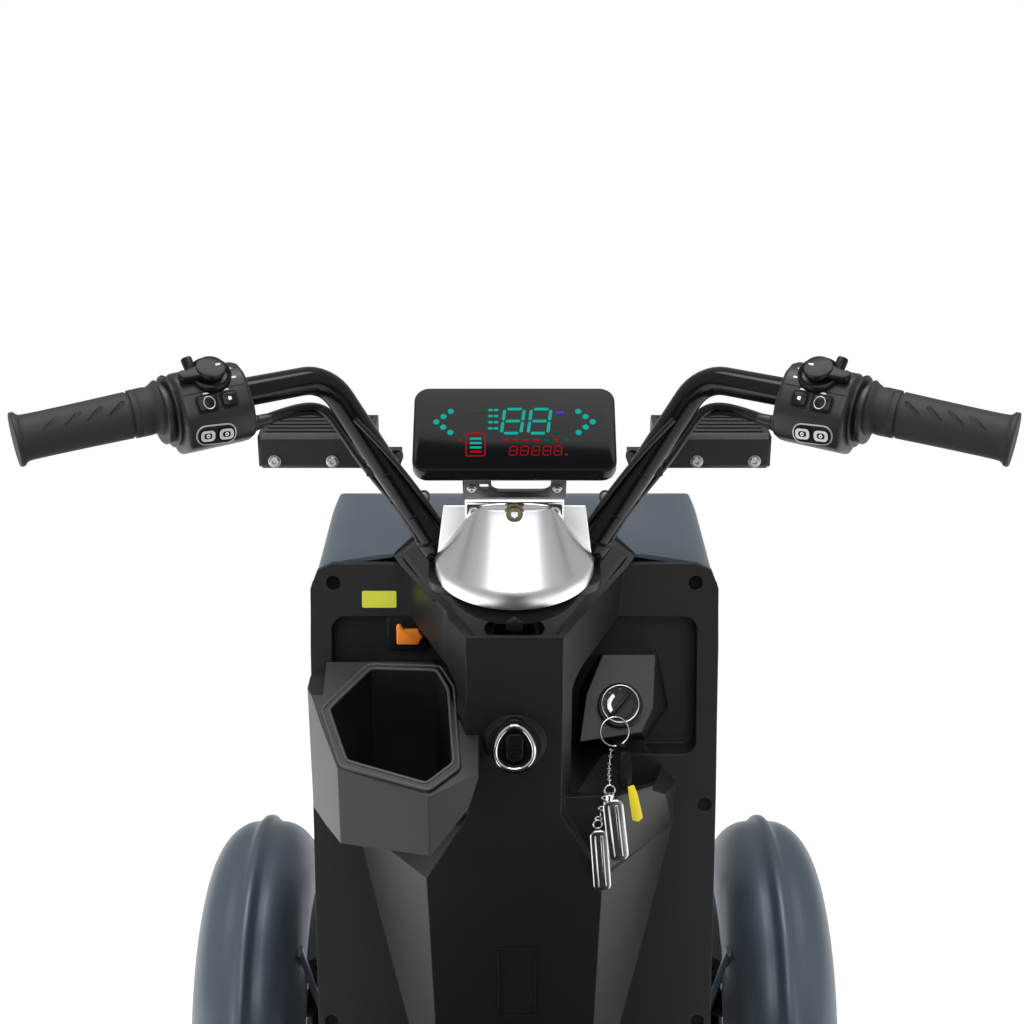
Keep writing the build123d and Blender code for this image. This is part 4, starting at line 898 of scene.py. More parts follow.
cone = half_cone()
applied(cone, "SOLIDIFY", thickness=0.0016, offset=-1)
lid = slab([(-0.0285, 0.0015)] + [(0.0285 * math.cos(turn), 0.0086 * math.sin(turn))
                                  for turn in (math.radians(180 + 15 * n) for n in range(13))]
           + [(0.0285, 0.0015)], 0.0016, edge=0.0005)
lid = settled(lid, Matrix.Translation((0, 0, COVER_HIGH - COVER_LOW - 0.0012)))
tall = COVER_HIGH - COVER_LOW
flap = slab([(-COVER_R, 0), (COVER_R, 0), (COVER_R, BAND), (0.0560, tall), (-0.0560, tall),
             (-COVER_R, BAND)], 0.0016, edge=0.0005)
flap = settled(flap, Matrix.Translation((0, 0.0026, 0)) @ Matrix.Rotation(math.pi / 2, 4, "X"))
cover = settled(joined([cone, lid, flap], "chrome_clamp_cover"), steer_frame(COVER_LOW))
chrome = finishes["chrome_trim"]
soft_chrome = finish_nodes("brushed_bright_chrome", (0.97, 0.97, 0.98), 0.30, metal=1.0, drift=0.01)
dressed(cover, "steering_cover", soft_chrome, replaces=True, smooth=50)
brass = finish_nodes("yellow_zinc_screw", (0.30, 0.26, 0.16), 0.34, metal=1.0, drift=0.15)
top_place = steer_frame(COVER_HIGH - 0.0012, -0.0085) @ Matrix.Rotation(0.95, 4, "X")
cover_screw = bolt(top_place, 0.0066, 0.0026)
cover_screw.name = "cover_screw"
dressed(cover_screw, "steering_cover", brass)
stem_nut = settled(rounded(turned([(0.0075, 0), (0.0075, 0.005)], 6), 0.0008),
                   steer_frame(-0.0290, -0.0580) @ Matrix.Rotation(math.pi / 2, 4, "X"))
stem_nut.name = "crown_bolt"
dressed(stem_nut, "steering_column", finishes["frame_paint"])
# A near-black disc below the cover: painted shade in the recess round the stem, not a real part.
stem_shade_disc = turned([(0.020, 0), (0.052, 0), (0.0535, 0.0015), (0.052, 0.0030), (0.020, 0.0075)], 72)
stem_shade_disc = settled(stem_shade_disc, steer_frame(COVER_LOW - 0.0105, -0.008))
stem_shade_disc.name = "stem_gaiter"
dressed(stem_shade_disc, "steering_column", shade_and_joint_black)

# %% [markdown]
# ## Wiring, ties and front lamps
# The wiring leaves each housing below the bar, arches past the bend, and follows the riser
# down to the crown under two ties. It is held, not free, so it is drawn as smooth tubes
# through a few points, three side by side. The lamps get their screws and a strip of clear lenses.

# %% Wiring
loom = finish_nodes("wiring_sleeve", (0.010, 0.010, 0.011), 0.34, coat=0.15, drift=0.1)
routes = [
    [(0.196, 0.268, 0.972), (0.188, 0.300, 0.966), (0.166, 0.334, 0.965), (0.146, 0.346, 0.957),
     (0.128, 0.348, 0.925), (0.104, 0.3475, 0.892), (0.080, 0.347, 0.860), (0.074, 0.347, 0.838)],
    [(0.203, 0.262, 0.970), (0.192, 0.302, 0.961), (0.168, 0.338, 0.958), (0.144, 0.352, 0.950),
     (0.126, 0.353, 0.920), (0.102, 0.352, 0.887), (0.078, 0.351, 0.857), (0.072, 0.350, 0.838)],
    [(0.196, 0.266, 0.967), (0.184, 0.306, 0.962), (0.164, 0.340, 0.965), (0.148, 0.343, 0.954),
     (0.131, 0.343, 0.922), (0.107, 0.342, 0.889), (0.083, 0.342, 0.858), (0.077, 0.342, 0.838)],
]
wires = [bent_tube(route, 0.0027, sides=12) for route in routes]
dressed(both_sides(joined(wires, "handlebar_wiring")), "control_cables", loom, replaces=True,
        smooth=60)
riser_way = (bar_line[2] - riser_foot).normalized()
outward = Vector((1, 0, 0)) - riser_way * riser_way.x
inner_line = []
for share, side, back in ((0.80, -0.004, -0.013), (0.62, -0.010, -0.010), (0.42, -0.013, -0.006),
                          (0.22, -0.013, -0.002), (0.10, -0.012, 0.006), (0.03, -0.010, 0.014)):
    centre = riser_foot + (bar_line[2] - riser_foot) * share
    inner_line.append(centre + outward.normalized() * side + Vector((0, back, 0)))
dressed(both_sides(bent_tube(inner_line, 0.0022, sides=12, name="riser_wires")), "control_cables",
        loom, smooth=60)

# %% Cable ties
ties = []
TIE_STRETCH = 1.75 * 1.05
for share in (0.52, 0.30):
    centre = riser_foot + (bar_line[2] - riser_foot) * share + Vector((0, 0.0135, 0))
    loop = axes_at(centre, riser_way, (1, 0, 0))
    ties.append(ring(0.0126, 0.0010, loop, TIE_STRETCH))
    tail = box((0.0024, 0.0010, 0.016), edge=0.0004)
    ties.append(settled(tail, axes_at(centre + Vector((0.013, -0.016, 0.004)), (1, 0.2, 0.9))))
tie = joined(ties, "cable_ties")
dressed(both_sides(tie), "control_cables", gloss_button, smooth=60)

# %% Lamp blocks
lamp_screws = []
for x in (0.1480, 0.1950):
    lamp_screws.append(bolt(axes_at((x, 0.357, 0.9075), (0, -1, 0)), 0.0042, 0.0032))
dressed(both_sides(joined(lamp_screws, "lamp_screws")), "lamp_blocks", zinc)
end_cap = box((0.004, 0.050, 0.027), (0.2065, 0.3845, 0.915), 0.0012)
marks = [bolt(axes_at((0.2085, y, 0.915), (1, 0, 0)), 0.0026, 0.0016) for y in (0.366, 0.403)]
dressed(both_sides(joined([end_cap] + marks, "lamp_end_caps")), "lamp_blocks")
clear = finish_nodes("lamp_lens_clear", (0.80, 0.83, 0.86), 0.10, coat=0.6, drift=0.03)
cells = []
for number in range(6):
    cell = turned([(0.0062, 0), (0.0062, 0.002), (0.0045, 0.0036), (0.0015, 0.0042)], 24)
    cells.append(settled(cell, axes_at((0.1265 + 0.0134 * number, 0.4065, 0.915), (0, 1, 0))))
cells.append(box((0.084, 0.0012, 0.021), (0.160, 0.4065, 0.915), 0.0004))
dressed(both_sides(joined(cells, "lamp_lenses")), "lamp_blocks", clear)

# %% [markdown]
# ## The shield's fittings
# The pocket's mouth gets the two fine rolled edges of the real moulding, in a lighter grey that
# paints the highlight they catch; the ignition a tilted dial with its key, and the hook its bright
# oval. The keys hang from two wire rings.

# %% Pocket edges, painted shade in the screw holes, hatch lines and the blank plate
mouth = [(-0.149, 0.268), (-0.118, 0.311), (-0.064, 0.309), (-0.054, 0.288), (-0.0475, 0.215),
         (-0.068, 0.195), (-0.131, 0.217)]


def on_lip(points, rise):
    """Points of a plan outline lifted onto the pocket's sloping lip."""
    return [(x, y, 0.700 + 0.336 * (y - 0.194) + rise) for x, y in points]


def rounded_loop(points, reach):
    """Each corner replaced by points either side of it, for a soft closed line."""
    soft = []
    for before, corner, after in zip(points[-1:] + points[:-1], points, points[1:] + points[:1]):
        before, corner, after = Vector(before), Vector(corner), Vector(after)
        soft.append(corner + (before - corner).normalized() * reach)
        soft.append(corner)
        soft.append(corner + (after - corner).normalized() * reach)
    return soft


def grown(points, distance):
    """A plan outline pushed outwards from its middle."""
    middle = sum((Vector(point) for point in points), Vector((0, 0))) / len(points)
    return [Vector(point) + (Vector(point) - middle).normalized() * distance for point in points]


beads = [bent_tube(rounded_loop(on_lip(grown(mouth, out), rise), 0.006), size, sides=12, closed=True)
         for out, rise, size in ((0.0005, 0.0028, 0.0015), (0.0062, 0.0022, 0.0013))]
# The rolled edges are the black moulding; their lighter grey is a painted highlight along them.
edge_highlight_grey = finish_nodes("moulded_edge", (0.045, 0.046, 0.049), 0.40, drift=0.08)
dressed(joined(beads, "pocket_edges"), "storage_pocket", edge_highlight_grey, smooth=70)

sheet_slope = math.atan2(0.397 - 0.338, 0.810 - 0.597)
sheet_normal = (0, -math.cos(sheet_slope), math.sin(sheet_slope))
plate_y = 0.338 + (0.7715 - 0.597) * math.tan(sheet_slope) - 0.0026
yellow = finish_nodes("plain_yellow_plate", (0.66, 0.67, 0.05), 0.42, drift=0.06)
plate = slab(round_rectangle(0.0295, 0.0145, 0.0012), 0.0004)
plate = settled(plate, axes_at((-0.1160, plate_y, 0.7715), sheet_normal))
plate.name = "blank_plate"
dressed(plate, "leg_shield", yellow)
# Near-black discs at the six screw holes: painted shade in the holes, which are not cut.
hole_shade_discs = []
for x, y, z in ((0.155, 0.402, 0.785), (0.165, 0.345, 0.597), (0.163, 0.308, 0.396)):
    for side in (-1, 1):
        recess = turned([(0.0085, 0), (0.0085, 0.0012), (0.0062, 0.0014)], 32)
        hole_shade_discs.append(settled(recess, axes_at((side * x, y - 0.0052, z), sheet_normal)))
dressed(joined(hole_shade_discs, "screw_recesses"), "leg_shield", shade_and_joint_black)
hatch = []
for width, height, x, z in ((0.0009, 0.078, -0.0150, 0.0), (0.0009, 0.078, 0.0165, 0.0),
                            (0.0320, 0.0009, 0.00075, 0.039), (0.0320, 0.0009, 0.00075, -0.039)):
    hatch.append(box((width, 0.0008, height), (x, 0, z)))
spine_way = Vector((0, 0.252 - 0.276, 0.578 - 0.394))
hatch_place = axes_at((0.0012, 0.2665, 0.4625), spine_way)
dressed(settled(joined(hatch, "hatch_lines"), hatch_place), "leg_shield", shade_and_joint_black)

# %% Ignition lock and key
LOCK_AT, LOCK_WAY = (0.089, 0.330, 0.697), (0, -0.8, 0.6)
dial_place = axes_at(LOCK_AT, LOCK_WAY)
dial = turned([(0.0190, 0.0000), (0.0190, 0.0050), (0.0180, 0.0060), (0.0166, 0.0058),
               (0.0160, 0.0035), (0.0118, 0.0033), (0.0112, 0.0060), (0.0060, 0.0062)], 64)
dial = settled(dial, dial_place)
dial.name = "ignition_dial"
dressed(dial, "ignition_lock", gloss_button, replaces=True, smooth=40)
marks = [settled(box((0.0026, 0.0010, 0.0003), (0, 0.0139, 0.0036)),
                 dial_place @ Matrix.Rotation(math.radians(turn), 4, "Z"))
         for turn in (0, 38, 66, 96, 150, 205)]
dressed(joined(marks, "dial_marks"), "ignition_lock", dull_mark)
sickle = slab(arc(0.0108, 120, 235, 14) + arc(0.0070, 235, 120, 14), 0.0006, edge=0.0001)
sickle = settled(sickle, dial_place @ Matrix.Translation((-0.0005, 0.0005, 0.0062)))
sickle.name = "lock_face_crescent"
dressed(sickle, "ignition_lock", zinc)
bow = slab(round_rectangle(0.0032, 0.0250, 0.0015), 0.0170, edge=0.0007)
bow = cut(bow, settled(turned([(0.0035, -0.01), (0.0035, 0.01)], 24),
                       axes_at((0, -0.004, 0.0125), (1, 0, 0))))
bow = settled(bow, dial_place @ Matrix.Rotation(math.radians(-40), 4, "Z")
              @ Matrix.Translation((0, 0, 0.0062)))
bow.name = "key_bow"
dressed(bow, "ignition_lock", gloss_button)

# %% Key rings, chain and fobs
lean = Matrix.Rotation(math.radians(8), 4, "X")
wires = [ring(0.0154, 0.0007, dial_place @ Matrix.Translation((-0.0006, -0.0002, 0.0150)) @ lean),
         ring(0.0122, 0.0007, axes_at((0.0830, 0.3010, 0.6890), (0.2, -1, 0.35)))]
chain_line = [Vector((0.0800, 0.2930, 0.6760)), Vector((0.0775, 0.2760, 0.6730)),
              Vector((0.0765, 0.2600, 0.6720)), Vector((0.0768, 0.2500, 0.6690))]
for start, end in zip(chain_line, chain_line[1:]):
    for share in (0.0, 0.25, 0.5, 0.75):
        number = len(wires)
        place = axes_at(start.lerp(end, share), (1, 0, 0) if number % 2 else (0, 0.3, 1), end - start)
        wires.append(ring(0.0018, 0.00045, place @ Matrix.Rotation(math.pi / 2, 4, "Z"), 1.5))
wires.append(ring(0.0042, 0.0006, axes_at((0.0768, 0.2480, 0.6650), (0.1, -1, 0.2))))
clip = settled(rounded(turned([(0.0036, 0), (0.0036, 0.006)], 24), 0.0006),
               axes_at((0.0768, 0.2480, 0.6620), (0, 0, -1)))
wires.append(clip)
for step in range(5):
    place = axes_at((0.0735 - 0.0013 * step, 0.2470, 0.6580 - 0.0048 * step),
                    (1, 0, 0) if step % 2 else (0, 1, 0), (0.2, 0, 1))
    wires.append(ring(0.0017, 0.00045, place, 1.5))
wires.append(ring(0.0036, 0.0006, axes_at((0.0676, 0.2465, 0.6340), (0.1, -1, 0.1))))
dressed(joined(wires, "key_rings_and_chain"), "ignition_lock", chrome, smooth=60)


def fob(length, width, thick, place):
    """A bevelled metal fob with raised ribs, its top at the placing frame's origin."""
    body = slab(round_rectangle(width, length, width * 0.36, 6), thick, edge=0.0014, segments=3)
    body = settled(body, axes_at((0, thick / 2, -length / 2), (0, -1, 0)))
    ribs = [box((width * wide, thick * 1.4, length * 0.84), (width * shift, 0, -length / 2), 0.0008)
            for wide, shift in ((0.16, 0.16), (0.09, -0.20))]
    return settled(joined([body] + ribs, "fob"), place)


fobs = [fob(0.0560, 0.0170, 0.0050, axes_at((0.0790, 0.2470, 0.6570), (-0.12, 0.05, 1))),
        fob(0.0560, 0.0148, 0.0050, axes_at((0.0682, 0.2460, 0.6290), (-0.08, 0.05, 1)))]
fob_metal = finish_nodes("worn_silver_plate", (0.80, 0.80, 0.80), 0.20, metal=1.0, drift=0.08)
dressed(joined(fobs, "key_fobs"), "ignition_lock", fob_metal, smooth=40)
spare = slab([(-0.0038, 0), (0.0038, 0), (0.0062, -0.012), (0.0056, -0.026), (0.0, -0.030),
              (-0.0056, -0.026), (-0.0060, -0.012)], 0.0028, edge=0.0009)
spare = settled(spare, axes_at((0.0890, 0.2660, 0.6900), (0.25, -1, 0.35)))
spare.name = "spare_key_bow"
strap = settled(box((0.0050, 0.0030, 0.022), edge=0.0012),
                axes_at((0.0868, 0.2800, 0.6880), (0.1, -0.9, 0.45)))
dressed(joined([spare, strap], "spare_key"), "ignition_lock", gloss_button)
tag = slab([(-0.0026, 0), (0.0026, 0), (0.0040, -0.010), (0.0044, -0.030), (0.0, -0.0325),
            (-0.0044, -0.030), (-0.0034, -0.010)], 0.0020, edge=0.0007)
tag = settled(tag, axes_at((0.0935, 0.2470, 0.6700), (0.15, -1, 0.12), (1, 0.1, 0.20)))
tag.name = "yellow_key_tag"
yellow_tag = finish_nodes("yellow_key_plastic", (0.83, 0.66, 0.02), 0.38, drift=0.05)
dressed(tag, "ignition_lock", yellow_tag)

# %% Bag hook
hook_place = axes_at((0, 0.2400, 0.7125), (0, -1, 0.06))


def egg(width, height, steps=48):
    """An egg-shaped outline, narrower at the top."""
    points = []
    for step in range(steps):
        angle = 2 * math.pi * step / steps
        y = math.sin(angle) * height / 2
        x = math.cos(angle) * width / 2 * (1 - 0.20 * math.sin(angle))
        points.append((x, y))
    return points


hook_body = slab(egg(0.0355, 0.0480), 0.0065, edge=0.0016, segments=3)
well = settled(slab(egg(0.0200, 0.0300), 0.0120), Matrix.Translation((0, -0.001, 0.0035)))
hook_body = settled(cut(hook_body, well), hook_place)
hook_body.name = "bag_hook_body"
dressed(hook_body, "bag_hook", gloss_button, replaces=True, smooth=40)
line = [Vector((*point, 0.0075)) for point in egg(0.0305, 0.0385, 20)]
bright_ring = bent_tube([hook_place @ point for point in line], 0.0019, sides=16, closed=True)
bright_ring.name = "bag_hook_ring"
dressed(bright_ring, "bag_hook", chrome, smooth=70)
tongue = slab([(-0.0078, 0.008), (-0.0066, -0.0105), (0.0, -0.0135), (0.0066, -0.0105),
               (0.0078, 0.008), (0.004, 0.0115), (-0.004, 0.0115)], 0.0045, edge=0.0014, segments=3)
step_plate = box((0.0125, 0.0016, 0.0028), (0, -0.0035, 0.0052), 0.0006)
tongue = settled(joined([tongue, step_plate], "bag_hook_tongue"),
                 hook_place @ Matrix.Translation((0, 0, 0.0030)))
dressed(tongue, "bag_hook", gloss_button, smooth=40)

# %% Power socket
socket_place = axes_at((-0.0922, 0.3850, 0.7408), (0, -1, 0))
housing_plate = slab(round_rectangle(0.0355, 0.0330, 0.0045, 6), 0.0100, edge=0.0016, segments=3)
housing_plate = settled(housing_plate, socket_place @ Matrix.Translation((0, 0, -0.0060)))
housing_plate.name = "socket_plate"
dressed(housing_plate, "power_socket", finishes["black_moulding"], replaces=True, smooth=40)
cap = slab([(-0.0105, -0.0078), (0.0085, -0.0078), (0.0098, -0.0040), (0.0125, -0.0004),
            (0.0098, 0.0032), (0.0085, 0.0066), (-0.0045, 0.0066), (-0.0060, 0.0100),
            (-0.0082, 0.0112), (-0.0105, 0.0098)], 0.0042, edge=0.0012, segments=3)
cap = settled(cap, socket_place @ Matrix.Translation((0.0012, -0.0018, 0.0040)))
cap.name = "orange_socket_cap"
dressed(cap, "power_socket", smooth=40)

# %% [markdown]
# ## Wheels
# A tyre is a turned casing with one row of tread blocks modelled, bevelled and copied round
# it: three abreast, between a lug on each shoulder. The rim is a turned barrel and hub with
# one spoke copied five times. Both are made once on the X axis and copied to the four wheels.

# %% Tyre
TYRE_R, BEAD_R, TRACK_X, AXLE_Z = 0.183, 0.101, 0.272, 0.183
FRONT_Y, REAR_Y = 0.595, -0.560
TREAD_ROWS = 40
ALONG_X = axes_at((0, 0, 0), (1, 0, 0), (0, 1, 0))
side_profile = [(BEAD_R, 0.0235), (BEAD_R + 0.003, 0.0300), (0.1120, 0.0345), (0.1240, 0.0400),
                (0.1265, 0.0412), (0.1290, 0.0412), (0.1310, 0.0424), (0.1420, 0.0438),
                (0.1520, 0.0433), (0.1600, 0.0415), (0.1660, 0.0388), (0.1705, 0.0350),
                (0.1760, 0.0260), (0.1782, 0.0165), (0.1790, 0.0060)]
tyre_profile = [(radius, -x) for radius, x in side_profile]
tyre_profile += [(radius, x) for radius, x in reversed(side_profile)]
tyre_profile += [(0.1050, 0.0200), (0.1350, 0.0300), (0.1350, -0.0300), (0.1050, -0.0200)]
casing = turned(tyre_profile + tyre_profile[:1], 96)
with edit_mode(casing):
    bpy.ops.mesh.remove_doubles(threshold=0.00001)
    bpy.ops.mesh.normals_make_consistent(inside=False)
casing = settled(casing, ALONG_X)


def tread_block(outline, at_x, top_r, tilt):
    """One block: a bevelled slab that stands on the casing, leaning with its crown."""
    block = slab(outline, 0.0062, edge=0.0009, segments=2)
    lean = Matrix.Rotation(math.radians(tilt), 4, "Y")
    return settled(block, Matrix.Translation((at_x, 0, top_r - 0.0062)) @ lean)


pitch = 2 * math.pi * TYRE_R / TREAD_ROWS
middle = [(-0.0085, -0.36 * pitch), (0, -0.16 * pitch), (0.0085, -0.36 * pitch),
          (0.0085, 0.20 * pitch), (0, 0.40 * pitch), (-0.0085, 0.20 * pitch)]
shoulder = [(-0.0095, -0.30 * pitch), (0.0095, -0.42 * pitch), (0.0095, 0.16 * pitch),
            (-0.0095, 0.28 * pitch)]
row = [tread_block(middle, 0, TYRE_R - 0.0002, 0),
       tread_block(shoulder, 0.0215, TYRE_R - 0.0026, 12),
       tread_block([(-x, y) for x, y in shoulder], -0.0215, TYRE_R - 0.0026, -12)]
wing = box((0.0040, 0.44 * pitch, 0.0150), (0, 0, 0), 0.0010)
for side in (-1, 1):
    place = axes_at((side * 0.0378, 0.03 * pitch, 0.1700), (side * 0.55, 0, 0.83), (1, 0, 0))
    row.append(copied(wing, place))
bpy.data.objects.remove(wing)
row = joined(row, "tread_row")
rows = [copied(row, Matrix.Rotation(2 * math.pi * number / TREAD_ROWS, 4, "X"))
        for number in range(TREAD_ROWS)]
bpy.data.objects.remove(row)
tyre = joined([casing] + rows, "tyre")
print("tyre faces", len(tyre.data.polygons))

# %% Rim
barrel = turned([(0.0900, -0.0300), (0.1010, -0.0300), (0.1040, -0.0322), (0.1060, -0.0318),
                 (0.1060, -0.0300), (0.1010, -0.0270), (0.1000, -0.0200), (0.0960, -0.0160),
                 (0.0960, 0.0160), (0.1000, 0.0200), (0.1010, 0.0270), (0.1060, 0.0300),
                 (0.1060, 0.0318), (0.1040, 0.0322), (0.1010, 0.0300), (0.0915, 0.0290),
                 (0.0860, 0.0200), (0.0860, -0.0200), (0.0900, -0.0300)], 96)
hub = turned([(0.0085, -0.0300), (0.0290, -0.0300), (0.0300, -0.0290), (0.0290, 0.0120),
              (0.0250, 0.0230), (0.0235, 0.0258), (0.0120, 0.0262), (0.0085, 0.0262)], 48)
spoke = slab([(-0.0145, 0.020), (-0.0105, 0.045), (-0.0130, 0.068), (-0.0215, 0.0895),
              (0.0215, 0.0895), (0.0130, 0.068), (0.0105, 0.045), (0.0145, 0.020)],
             0.0150, edge=0.0026, segments=3)
spoke = settled(spoke, Matrix.Translation((0, 0, 0.0035)))
spokes = [copied(spoke, Matrix.Rotation(math.radians(36 + 72 * number), 4, "Z"))
          for number in range(5)]
bpy.data.objects.remove(spoke)
rim = settled(joined([barrel, hub] + spokes, "rim"), ALONG_X)
nuts = [bolt(axes_at((0.0262, 0.0165 * math.sin(turn), 0.0165 * math.cos(turn)), (1, 0, 0)),
             0.0030, 0.0030, 6) for turn in (math.radians(36 + 72 * n) for n in range(5))]
valve = settled(turned([(0.0036, 0), (0.0036, 0.008), (0.0026, 0.009), (0.0026, 0.020)], 20),
                axes_at((0.0180, 0, 0.0930), (0.75, 0, -0.66)))
dust_cap = turned([(0.0110, 0), (0.0110, 0.0030), (0.0095, 0.0048), (0.0030, 0.0054)], 36)
dust_cap = settled(dust_cap, axes_at((0.0262, 0, 0), (1, 0, 0)))
trim = joined(nuts + [valve, dust_cap], "wheel_trim")

# %% Four wheels
for end, y in (("front", FRONT_Y), ("rear", REAR_Y)):
    for side, x in (("left", -TRACK_X), ("right", TRACK_X)):
        place = Matrix.Translation((x, y, AXLE_Z))
        if x < 0:
            place = place @ Matrix.Rotation(math.pi, 4, "Z")
        for source, kind in ((tyre, "tyre"), (rim, "rim"), (trim, "rim")):
            piece = copied(source, place)
            piece.name = f"{source.name}_{end}_{side}_finished"
            finish = zinc if source is trim else None
            dressed(piece, f"{kind}_{end}_{side}", finish, replaces=source is not trim, smooth=32)
for source in (tyre, rim, trim):
    bpy.data.objects.remove(source)

# %% [markdown]
# ## Fenders
# One cross-section, with the rounded ridge on the crown and a rolled edge at each brim, is
# spun round the axle. Front fenders steer with the wheels on two bent stays, and rear ones
# sit on brackets from the body.

# %% Fenders
FENDER_R, FENDER_HALF = 0.1985, 0.057


def fender_section():
    """The closed section of a fender in (x, radius), outer skin first, 3 mm thick."""
    brim_r = FENDER_R - 0.064
    half = [(0.0, FENDER_R + 0.0062), (0.0035, FENDER_R + 0.0056), (0.0062, FENDER_R + 0.0030),
            (0.0085, FENDER_R + 0.0008), (0.0120, FENDER_R - 0.0008)]
    for step in range(1, 13):
        angle = math.radians(90 - 7.5 * step)
        x = 0.0120 + (FENDER_HALF - 0.0120) * math.cos(angle)
        half.append((x, brim_r + (FENDER_R - 0.0008 - brim_r) * math.sin(angle)))
    half += [(FENDER_HALF + 0.0016, brim_r - 0.0014), (FENDER_HALF + 0.0004, brim_r - 0.0036),
             (FENDER_HALF - 0.0024, brim_r - 0.0032)]
    inner = [(max(0.0, x - 0.0030 * min(1.0, x / 0.04)), radius - 0.0030)
             for x, radius in half[:-3]]
    inner[-1] = (FENDER_HALF - 0.0030, brim_r)
    inner[0] = (0.0, FENDER_R + 0.0020)
    right = half + inner[::-1]
    left = [(-x, radius) for x, radius in reversed(right[1:-1])]
    return right + left


def fender(ahead, behind):
    """A fender's skin spun about the X axis, from an angle ahead of the top to one behind.
    The spin starts at the top and runs forwards, so the skin is then turned back."""
    section = fender_section()
    fresh()
    bpy.ops.mesh.primitive_circle_add(vertices=len(section), radius=1)
    piece = bpy.context.object
    for vertex, (x, radius) in zip(piece.data.vertices, section):
        vertex.co = (x, 0, radius)
    with edit_mode(piece):
        bpy.ops.mesh.spin(steps=56, angle=math.radians(ahead + behind), center=(0, 0, 0),
                          axis=(1, 0, 0))
        bpy.ops.mesh.select_all(action="SELECT")
        bpy.ops.mesh.fill_holes(sides=0)
        bpy.ops.mesh.normals_make_consistent(inside=False)
    return settled(piece, Matrix.Rotation(math.radians(behind), 4, "X"))


skin = fender(52, 86)
stays = []
for way in (-1, 1):
    stay = bent_tube([(0, way * 0.020, 0.010), (0, way * 0.044, 0.014),
                      (0.034, way * 0.096, 0.140)], 0.007, bend=0.012, sides=16)
    stay.data.transform(Matrix.Translation((-0.068, 0, 0)) @ Matrix.Diagonal((0.43, 1, 1, 1)))
    stays.append(stay)
    stays.append(bolt(axes_at((-0.0585, way * 0.089, 0.128), (-1, 0, 0)), 0.0038, 0.003))
front = joined([skin] + stays, "front_fender")
for side, x in (("right", TRACK_X), ("left", -TRACK_X)):
    mirror = Matrix.Diagonal((1 if x > 0 else -1, 1, 1, 1))
    piece = copied(front, Matrix.Translation((x, FRONT_Y, AXLE_Z)) @ mirror)
    piece.name = f"front_fender_{side}_finished"
    dressed(piece, f"front_fender_{side}", replaces=True, smooth=40)
bpy.data.objects.remove(front)
rear = fender(62, 80)
bracket = box((0.036, 0.100, 0.008), (0.205 - TRACK_X, 0, 0.162), 0.0020)
rear = settled(joined([rear, bracket], "rear_fenders_finished"),
               Matrix.Translation((TRACK_X, REAR_Y, AXLE_Z)))
dressed(both_sides(rear), "rear_fenders", replaces=True, smooth=40)

# %% [markdown]
# ## Suspension
# A coil-over has a spring that is a small circle screwed round an axis by the Screw
# modifier, and a turned damper inside it. Its two eyes are among the flattened pieces.

# %% Coil-over dampers
def coil_over(low, high):
    """A spring and its damper between two points, as two meshes."""
    low, high = Vector(low), Vector(high)
    length = (high - low).length
    place = axes_at(low, high - low)
    turns, first, last = 7, 0.024, length - 0.032
    wire_r, coil_r = 0.0031, 0.0148
    fresh()
    bpy.ops.mesh.primitive_circle_add(vertices=12, radius=wire_r, location=(coil_r, 0, first),
                                      rotation=(math.pi / 2, 0, 0))
    coil = settled(bpy.context.object)
    applied(coil, "SCREW", screw_offset=(last - first) / turns, iterations=turns, steps=30,
            render_steps=30)
    coil = settled(coil, place)
    body = turned([(0.0100, 0.012), (0.0180, 0.016), (0.0180, 0.0195), (0.0112, 0.0215),
                   (0.0112, length * 0.52), (0.0095, length * 0.54), (0.0052, length * 0.545),
                   (0.0052, length - 0.036), (0.0110, length - 0.034), (0.0180, length - 0.031),
                   (0.0180, length - 0.026), (0.0120, length - 0.023), (0.0090, length - 0.014)], 36)
    eyes = [settled(rounded(turned([(0.0090, -0.010), (0.0090, 0.010)], 32), 0.001),
                    axes_at((0, 0, height), (1, 0, 0))) for height in (0.009, length - 0.009)]
    return coil, settled(joined([body] + eyes, "damper"), place)


coils, dampers = [], []
for low, high in (((0.080, FRONT_Y, 0.202), (0.066, 0.565, 0.368)),
                  ((0.130, REAR_Y, 0.214), (0.130, REAR_Y + 0.020, 0.429))):
    coil, damper = coil_over(low, high)
    coils.append(coil)
    dampers.append(damper)
dressed(both_sides(joined(coils, "coil_springs")), "shock_absorbers",
        finishes["spring_steel"], replaces=True, smooth=60)
dressed(both_sides(joined(dampers, "dampers")), "shock_absorbers", zinc, smooth=40)

# %% [markdown]
# ## Lamps
# The headlight is a mirror bowl with a ring of small lights behind a clear dome. Each tail
# lamp is a red lens over a dark tray, with fine bars across its face.

# %% Headlight
lamp_place = axes_at((0, 0.712, 0.590), (0, 1, 0))
bowl = turned([(0.0120, -0.0260), (0.0300, -0.0240), (0.0420, -0.0150), (0.0500, -0.0020),
               (0.0530, 0.0060), (0.0545, 0.0060), (0.0500, -0.0160), (0.0320, -0.0290),
               (0.0120, -0.0295)], 72)
bezel = turned([(0.0535, -0.0020), (0.0615, -0.0020), (0.0622, 0.0080), (0.0605, 0.0118),
                (0.0560, 0.0122), (0.0540, 0.0095), (0.0535, -0.0020)], 96)
dressed(settled(joined([bowl], "headlight_bowl"), lamp_place), "headlight", chrome,
        replaces=True, smooth=50)
dressed(settled(joined([bezel], "headlight_bezel"), lamp_place), "headlight", gloss_button)
emitters = [settled(turned([(0.0052, 0), (0.0052, 0.002), (0.0036, 0.0040), (0.001, 0.0046)], 24),
                    Matrix.Rotation(math.radians(60 * n), 4, "Z")
                    @ Matrix.Translation((0.0270, 0, -0.0200))) for n in range(6)]
emitters.append(turned([(0.0100, -0.0250), (0.0100, -0.0180), (0.0070, -0.0140), (0.001, -0.0125)], 32))
